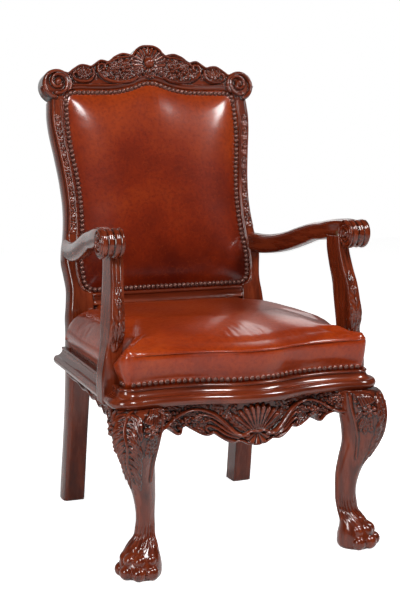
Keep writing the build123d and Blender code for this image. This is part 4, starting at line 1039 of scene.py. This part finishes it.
def build_seat():
    """Rings up the border and inward over the top, with the leather held back at the posts."""
    half_rings = []
    base = seat_loop(0.0)
    frontness = smoothstep(*FRONT_BLEND, base[:, 1])[:, None]
    behind = smoothstep(170, 188, base[:, 1])[:, None]
    for (front_z, front_out), (side_z, side_out) in zip(FRONT_BORDER, SIDE_BORDER):
        low = seat_loop(side_out)
        high = seat_loop(front_out)
        plan = low + (high - low) * frontness
        plan = plan + near_corner(base) * smoothstep(2, 14, front_out) * CORNER_EASE
        level = side_z + (front_z - side_z) * frontness
        level = level + REAR_RISE * behind * smoothstep(199, 188, base[:, :1]) * smoothstep(440, 475, level)
        level = level + CORNER_LIFT * near_corner(base) * smoothstep(463, 470, front_z)
        half_rings.append(np.concatenate([plan, level], 1))
    edge = half_rings[-1]
    for share in np.linspace(0.03, 0.97, 40):
        plan = edge[:, :2] + (SEAT_MIDDLE - edge[:, :2]) * share
        level = edge[:, 2] + (seat_top(plan) - edge[:, 2]) * smoothstep(0, 0.15, share)
        half_rings.append(np.concatenate([plan, level[:, None]], 1))
    rings = np.array(half_rings)
    near_post = np.exp(-((rings[..., 1] - ARM_FOOT_Y) / 30.0) ** 4)
    limit = ARM_CLEAR_X + 60 * (1 - near_post)
    rings[..., 0] = np.minimum(rings[..., 0], limit)
    beside_post = np.exp(-((rings[..., 1] - ARM_FOOT_Y) / 46.0) ** 2)
    dip = beside_post * np.exp(-np.clip(ARM_CLEAR_X - rings[..., 0], 0, None) / 30.0)
    rings[..., 2] -= POST_DIP * dip * smoothstep(425, 475, rings[..., 2])
    to_post = np.clip((rings[..., 1] - REAR_ROUND_Y) / (POST_FRONT_Y - 1 - REAR_ROUND_Y), 0, 1)
    rounded = 1 - np.sqrt(np.clip(1 - to_post ** 2.4, 0, 1))
    in_front = smoothstep(182, 214, rings[..., 0])
    rings[..., 2] -= rounded * in_front * np.clip(rings[..., 2] - RAIL_TOP - 8, 0, None)
    whole = np.concatenate([rings, rings[:, ::-1][:, 1:-1] * (-1, 1, 1)], 1)
    return tube_piece("seat_cushion", whole)


def panel_gaps(x, z):
    """How far inside the panel's side, top and foot each point lies."""
    x = np.abs(x)
    return [np.interp(z, *np.array(PANEL_SIDE, float).T) - x,
            np.interp(x, *np.array(PANEL_TOP_EDGE, float).T) - z, z - PANEL_FOOT]


def build_back():
    """The padded back: rings inward from the nailed edge over a crowned face, closed by a flat rear."""
    outline = closed_plan(path_through(PANEL_HALF, 8))
    rings = [on_back(*(PANEL_MIDDLE + (outline - PANEL_MIDDLE) * 0.995).T, -REBATE - 14)]
    for share in np.concatenate([[0.0, 0.015, 0.03, 0.045], np.linspace(0.06, 0.97, 60)]):
        x, z = (outline + (PANEL_MIDDLE - outline) * share).T
        nearness = sum(pull(gap) for gap in panel_gaps(x, z))
        inward = np.clip(nearness ** (-1 / 3) - PAD_BORDER, 0, None)
        rise = BACK_CROWN * (1 - np.exp(-inward / PAD_ROUND))
        rings.append(on_back(x, z, -REBATE + 1.8 + rise))
    return tube_piece("back_cushion", rings)


def coordinates(mesh):
    values = np.zeros(len(mesh.vertices) * 3)
    mesh.vertices.foreach_get("co", values)
    return values.reshape(-1, 3)


# Cloth simulation of the cushions
SWELL_PRESSURE = 4.0
SWELL_FRAMES = 20
SWELL_VOXEL = 6.0


def swell(piece, pinned, cap):
    """Cloth under inner pressure on an even copy of the piece, whose movement the piece then follows.

    Pinned points stay where they are, and none moves further than cap.
    """
    scene = bpy.context.scene
    even = new_object("even_copy", piece.data.copy())
    remesh = even.modifiers.new("even", "REMESH")
    remesh.mode = "VOXEL"
    remesh.voxel_size = SWELL_VOXEL * MM
    relax = even.modifiers.new("relax", "SMOOTH")
    relax.iterations = 4
    bake_modifiers(even)
    before = coordinates(even.data)
    held = pinned(to_sketch(before))
    group = even.vertex_groups.new(name="held")
    group.add(np.nonzero(held)[0].tolist(), 1.0, "REPLACE")
    cloth = even.modifiers.new("cloth", "CLOTH")
    cloth.settings.use_pressure = True
    cloth.settings.uniform_pressure_force = SWELL_PRESSURE
    cloth.settings.vertex_group_mass = "held"
    cloth.settings.quality = 4
    cloth.settings.effector_weights.gravity = 0
    cloth.collision_settings.use_collision = False
    cloth.point_cache.frame_end = SWELL_FRAMES
    for number in range(1, SWELL_FRAMES + 1):
        scene.frame_set(number)
    bake_modifiers(even)
    scene.frame_set(1)
    moved = coordinates(even.data) - before
    far = np.linalg.norm(moved, axis=1, keepdims=True)
    moved *= np.minimum(1, cap * MM / np.maximum(far, 1e-9))
    nearby = KDTree(len(before))
    for index, point in enumerate(before):
        nearby.insert(point, index)
    nearby.balance()
    fine = coordinates(piece.data)
    for row, point in enumerate(fine.copy()):
        found = nearby.find_n(point, 10)
        pulls = np.array([1 / (gap + 3.0 * MM) ** 2 for _, _, gap in found])
        fine[row] += pulls @ moved[[index for _, index, _ in found]] / pulls.sum()
    piece.data.vertices.foreach_set("co", fine.ravel())
    piece.data.update()
    bpy.data.meshes.remove(even.data)


def bake_modifiers(piece):
    """The mesh as its modifiers show it, with no modifier left."""
    graph = bpy.context.evaluated_depsgraph_get()
    mesh = bpy.data.meshes.new_from_object(piece.evaluated_get(graph))
    piece.modifiers.clear()
    old = piece.data
    piece.data = mesh
    bpy.data.meshes.remove(old)
    mesh.shade_smooth()


def seat_held(points):
    """Where the seat leather can't move: at the nails, the welt, the posts and the back."""
    x, y, z = np.abs(points[:, 0]), points[:, 1], points[:, 2]
    nailed = z < 410
    seam = (np.abs(z - WELT_HEIGHT) < 4) & (y < -225) & (y < front_y(np.minimum(x, 270), 4))
    at_post = (x > ARM_CLEAR_X - 14) & (np.abs(y - ARM_FOOT_Y) < 30)
    return nailed | seam | at_post | (y > POST_FRONT_Y - 12)


def back_held(points):
    """Where the back leather can't move: in its nailed border and behind it."""
    x, y, z = points.T
    proud = (back_face(z) - y) * math.cos(BACK_RAKE)
    return (proud < -4) | (np.minimum.reduce(panel_gaps(x, z)) < PAD_BORDER + 2)


def nail_heads(name, node, radius, height, axis):
    """One mesh of domes on the nails of a CAD node; a nail's own direction is read where none is given."""
    build = bmesh.new()
    build.from_mesh(frame["nodes"][node].data)
    bmesh.ops.remove_doubles(build, verts=build.verts, dist=1e-6)
    waiting = set(build.verts)
    points = []
    faces = []
    turn = np.linspace(0, 2 * math.pi, 16, endpoint=False)
    rise = np.radians(np.linspace(0, 84, 7))
    while waiting:
        island = [waiting.pop()]
        for vertex in island:
            for edge in vertex.link_edges:
                other = edge.other_vert(vertex)
                if other in waiting:
                    waiting.remove(other)
                    island.append(other)
        spots = to_sketch([vertex.co for vertex in island])
        forward = axis
        if forward is None:
            lift = np.abs(spots[:, 2] - spots[:, 2].mean())
            rim = spots[lift > 0.9 * lift.max()].mean(0)
            tail = spots[np.hypot(*(spots - rim)[:, :2].T).argmax()]
            forward = (rim - tail) * (1, 1, 0)
        forward = unit(np.array(forward, float))
        along = spots @ forward
        flat = spots - along[:, None] * forward
        middle = flat.mean(0)
        wide = np.linalg.norm(flat - middle, axis=1)
        seat_point = middle + forward * (along[wide > 0.9 * wide.max()].min() - 0.3)
        first = unit(np.cross(forward, (0.3, 0.2, 0.93)))
        second = np.cross(forward, first)
        ring = np.cos(turn)[:, None] * first + np.sin(turn)[:, None] * second
        start = len(points) * len(rise) * len(turn)
        rims = seat_point + radius * np.cos(rise)[:, None, None] * ring
        dome = rims + height * np.sin(rise)[:, None, None] * forward
        points.append(dome.reshape(-1, 3))
        faces += grid_faces(len(rise), len(turn), closed=True, first=start)
        faces.append([start + (len(rise) - 1) * len(turn) + k for k in range(len(turn))])
    build.free()
    return make_piece(name, np.concatenate(points), faces)


def tube_along(name, path, radius, sides=10):
    """A round piping along a line of points."""
    heading = unit(np.gradient(path, axis=0))
    level = unit(np.cross(heading, (0, 0, 1.0)))
    upright = np.cross(level, heading)
    turn = np.linspace(0, 2 * math.pi, sides, endpoint=False)[:, None]
    rings = path[:, None] + radius * (np.cos(turn) * level[:, None] + np.sin(turn) * upright[:, None])
    return tube_piece(name, rings)


# Lower back rail, on the raked back plane
LOWER_RAIL_FOOT = 498.0
LOWER_RAIL_TOP = 549.0


def build_lower_rail():
    """The rail under the padded back: a bead below the nails and a soft hollow face."""
    x = np.linspace(-POST_INNER_X, POST_INNER_X, 60)[:, None]
    z = np.concatenate([np.linspace(LOWER_RAIL_FOOT, PANEL_FOOT, 44), [PANEL_FOOT + 0.2, LOWER_RAIL_TOP]])
    bead = 3.6 * round_bead(z, 522.5, 3.6)
    hollow = -2.2 * np.sin(math.pi * np.clip((z - 501) / 17, 0, 1))
    edge = -3.0 * np.clip(1 - (z - LOWER_RAIL_FOOT) / 3, 0, 1) ** 2
    face = np.maximum(hollow + edge, np.where(bead > 0, bead, UNRAISED))
    front = on_back(x, z, np.where(z > PANEL_FOOT, -REBATE - 1.5, face))
    back = on_back(x, np.array([LOWER_RAIL_TOP, LOWER_RAIL_FOOT]), -FRAME_DEPTH)
    return tube_piece("lower_rail_shaped", np.concatenate([front, back], 1))


# Side rails: the lower edge from the knee to the rear post
SIDE_EDGE = [(-236, 300), (-222, 292), (-206, 300), (-192, 310), (-176, 304), (-160, 316), (-142, 311),
             (-120, 322), (-98, 317), (-70, 326), (-40, 322), (0, 330), (40, 327), (90, 333), (140, 331),
             (193, 334)]


def build_side_rail(sign):
    """The side rail's low apron: leaf carving near the knee that thins out towards the back."""
    y = np.linspace(-236, 192, 300)[:, None]
    edge = curve(SIDE_EDGE, y)
    z = edge + (APRON_TOP - edge) * np.linspace(0, 1, 42)
    along = np.broadcast_to(y, z.shape)
    carving = Carving(along, z)
    carving.foliage((-232, 300), (-110, 350), 60, 9, 5)
    carving.ridge(np.concatenate([y, edge + 3], 1), 3.4, 5.5)
    scroll = [(-228, 316), (-205, 326), (-178, 338), (-150, 334), (-120, 336), (-80, 342), (-40, 340),
              (10, 345), (80, 346), (170, 347)]
    carving.ridge(path_through(scroll), 4.0, 8, 2.0)
    carving.leaves([([(-200, 320), (-186, 312), (-172, 312)], 7),
                    ([(-160, 330), (-140, 322), (-120, 326)], 7),
                    ([(-120, 334), (-96, 328), (-74, 332)], 6), ([(-74, 338), (-46, 330), (-20, 334)], 6),
                    ([(-216, 336), (-196, 344), (-172, 346)], 7)], 8)
    carving.flower((-213, 314), 9, 9)
    flare = KNEE_FLARE * 0.6 * smoothstep(-185, -240, along) ** 1.3
    proud = carving.h * apron_fade(z, edge)
    front = np.stack([side_x(along, SIDE_APRON_OUT - 5) + flare + proud, along, z], -1)
    outer = side_x(y, -0.5)
    inner = side_x(y) - RAIL_THICKNESS
    corners = [(outer, APRON_TOP), (outer, RAIL_TOP), (inner, RAIL_TOP), (inner, edge)]
    back = [np.stack(np.broadcast_arrays(across, y, level), -1) for across, level in corners]
    hollow_shade = with_plain(hollows(carving.h), len(back))
    return side_piece("side_rail_carved", sign, np.concatenate([front] + back, 1), hollow_shade)


def sheet_on(name, outline, lift, thick):
    """A thin closed sheet from an outline of sketch points, lifted most in the middle."""
    shares = np.linspace(0, 0.96, 16)[:, None, None]
    rings = outline + (outline.mean(0) - outline) * shares + lift * (1 - (1 - shares) ** 2)
    return tube_piece(name, np.concatenate([rings[::-1], rings + thick]))


# A finish for every CAD node, then the carved pieces that stand for some of them
node_slots = {entry["node"]: entry["material_slot"] for entry in frame["record"]["subparts"]}
for node, obj in frame["nodes"].items():
    obj.data.materials.clear()
    obj.data.materials.append(wood_x if node == "front_moulding" else NODE_FINISH[node_slots[node]])

dress(build_crest(), "mahogany", wood_x, "crest_rail")
dress(build_apron(), "mahogany", wood_x, "front_rail")
dress(build_lower_rail(), "mahogany", wood_x, "lower_back_rail")
for sign, side in SIDES.items():
    dress(build_rear_post(sign), "mahogany", wood_z, "rear_post_" + side)
    dress(build_front_leg(sign), "mahogany", wood_z, "front_leg_" + side)
    dress(build_arm(sign), "mahogany", wood_y, "arm_" + side)
    dress(build_roll(sign), "mahogany", wood_y)
    dress(build_arm_post(sign), "mahogany", wood_z, "arm_post_" + side)
    dress(build_side_rail(sign), "mahogany", wood_y, "side_rail_" + side)

# Cushions, and how far the simulation may move them
SEAT_SWELL = 6.0
BACK_SWELL = 8.0
seat = build_seat()
back = build_back()
swell(seat, seat_held, SEAT_SWELL)
swell(back, back_held, BACK_SWELL)
dress(seat, "leather", seat_hide, "seat_leather", "seat_stuffing", "seat_hessian")
dress(back, "leather", shaded_back_hide, "back_leather", "back_stuffing", "back_hessian", "back_webbing_upright",
      "back_webbing_level")

# Rows of nails: each is (piece, node, radius, height, direction); with no direction each nail's own is read
FORWARD = np.array([0.0, -math.cos(BACK_RAKE), math.sin(BACK_RAKE)])
REARWARD = -FORWARD
NAIL_ROWS = [("seat_nail_heads", "seat_nails", 6.2, 5.6, None),
             ("back_nail_heads", "back_nails", 6.0, 6.4, FORWARD),
             ("rear_nail_heads", "outside_back_nails", 6.0, 4.2, REARWARD)]
for name, node, radius, height, axis in NAIL_ROWS:
    dress(nail_heads(name, node, radius, height, axis), "nail_bronze", bronze, node)

# Welt along the front: it follows the border and turns in behind the corners
WELT_OUT = 14.6
WELT_RADIUS = 2.1
WELT_EASE = 1.6
WELT_END_Y = -256.0
welt_half = seat_loop(WELT_OUT) + near_corner(seat_loop(0.0)) * CORNER_EASE * WELT_EASE
welt_half[:, 0] -= 4.0 * smoothstep(WELT_END_Y - 14, WELT_END_Y, welt_half[:, 1])
welt_half = welt_half[welt_half[:, 1] < WELT_END_Y]
welt_line = at_level(np.concatenate([welt_half[::-1] * (-1, 1), welt_half[1:]]), WELT_HEIGHT)
dress(tube_along("seat_welt", welt_line, WELT_RADIUS), "leather", seat_hide)

# Outside back and dust cover, each a sheet drawn over its frame
rear_plan = PANEL_MIDDLE + (closed_plan(path_through(PANEL_HALF, 4)) - PANEL_MIDDLE) * 0.985
rear_outline = on_back(*rear_plan.T, -FRAME_DEPTH + 3.0)
rear_sheet = sheet_on("outside_back", rear_outline, REARWARD * 5.0, FORWARD * 2.0)
dress(rear_sheet, "leather", shaded_back_hide, "outside_back_leather")

DOWN = np.array([0.0, 0.0, -1.0])
dust_plan = closed_plan(seat_loop(-RAIL_THICKNESS + 4))[::4]
dust_outline = at_level(dust_plan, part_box("dust_cover")[1].z / MM)
dust_sheet = sheet_on("dust_cover_cloth", dust_outline, DOWN * 4.0, DOWN)
dress(dust_sheet, "dust_cloth", dark_cloth, "dust_cover")

# Camera: place and lens fitted to the photo
CAMERA_AZIMUTH = math.radians(-22.48)
CAMERA_HEIGHT = math.radians(8.19)
CAMERA_DISTANCE = 2952.09
CAMERA_TARGET = np.array([0.0, 0.0, 525.96])
FOCAL_PIXELS = 1278.47
IMAGE_HEIGHT = 600.0


def look_at(obj, target):
    direction = Vector(target) - obj.location
    obj.rotation_euler = direction.to_track_quat("-Z", "Y").to_euler()


camera_data = bpy.data.cameras.new("camera")
camera_data.lens = FOCAL_PIXELS / IMAGE_HEIGHT * camera_data.sensor_width
camera = new_object("camera", camera_data)
offset = np.array([math.sin(CAMERA_AZIMUTH) * math.cos(CAMERA_HEIGHT),
                   -math.cos(CAMERA_AZIMUTH) * math.cos(CAMERA_HEIGHT), math.sin(CAMERA_HEIGHT)])
camera.location = place(CAMERA_TARGET + offset * CAMERA_DISTANCE)
look_at(camera, place(CAMERA_TARGET))
bpy.context.scene.camera = camera

# Soft boxes: each is (name, place, height that it is aimed at, width, height, watts)
SOFT_BOXES = [("high_box", (-0.45, -1.95, 2.85), 0.6, 0.6, 0.7, 58),
              ("right_box", (1.8, -1.2, 2.5), 0.6, 0.55, 0.8, 50),
              ("left_box", (-2.4, -1.2, 1.3), 0.5, 0.6, 1.2, 36),
              ("low_box", (-0.7, -3.6, 0.5), 0.3, 1.2, 0.5, 3),
              ("rear_box", (1.0, 2.5, 2.0), 0.6, 1.6, 1.2, 11)]
for name, location, aim, width, height, watts in SOFT_BOXES:
    lamp = bpy.data.lights.new(name, "AREA")
    lamp.shape = "RECTANGLE"
    lamp.size = width
    lamp.size_y = height
    lamp.energy = watts
    light = new_object(name, lamp)
    light.location = location
    look_at(light, (0, 0, aim))


def show_white(nodes, socket, elsewhere, seen, gloss_share):
    """The white's strength: full where the camera or glass sees it, and a gloss sees a share of that."""
    rays = nodes.tree.nodes.new("ShaderNodeLightPath").outputs
    direct = nodes.maths("MAXIMUM", rays["Is Camera Ray"], rays["Is Transmission Ray"])
    gloss = nodes.maths("MULTIPLY", rays["Is Glossy Ray"], gloss_share)
    shown = nodes.maths("MAXIMUM", direct, gloss)
    nodes.feed(nodes.shader, {socket: nodes.spread(shown, elsewhere, seen)})


# World: white to the camera; the fill and what a gloss sees grow towards the backdrop
world = bpy.data.worlds.new("studio")
bpy.context.scene.world = world
studio = Nodes(world, "Background")
direction = studio.add("ShaderNodeTexCoord", {}, "Generated")
behind = studio.add("ShaderNodeSeparateXYZ", {"Vector": direction}, "Y")
fill = studio.spread(behind, 0.04, 0.3, 0.5, 0.95, interpolation_type="SMOOTHSTEP")
backdrop_share = studio.spread(behind, 0.0, 1.0, 0.9, 1.1, interpolation_type="SMOOTHSTEP")
studio.feed(studio.shader, {"Color": (1, 1, 1, 1)})
show_white(studio, "Strength", fill, 1.0, backdrop_share)

# Floor: a white plane that takes the chair's shadow
FLOOR_HALF = 6.0
white_floor = Nodes(bpy.data.materials.new("floor_white"))
white_floor.feed(white_floor.shader, {"Base Color": (0.86, 0.86, 0.86, 1), "Roughness": 0.9,
                                      "Emission Color": (1, 1, 1, 1)})
show_white(white_floor, "Emission Strength", 0.0, 0.9, 0.1)
corners = [(x * FLOOR_HALF, y * FLOOR_HALF, 0.0) for x, y in ((-1, -1), (1, -1), (1, 1), (-1, 1))]
floor_mesh = bpy.data.meshes.new("floor")
floor_mesh.from_pydata(corners, [], [(0, 1, 2, 3)])
floor_mesh.materials.append(white_floor.owner)
floor = new_object("floor", floor_mesh)

bpy.context.scene.view_settings.view_transform = "Standard"
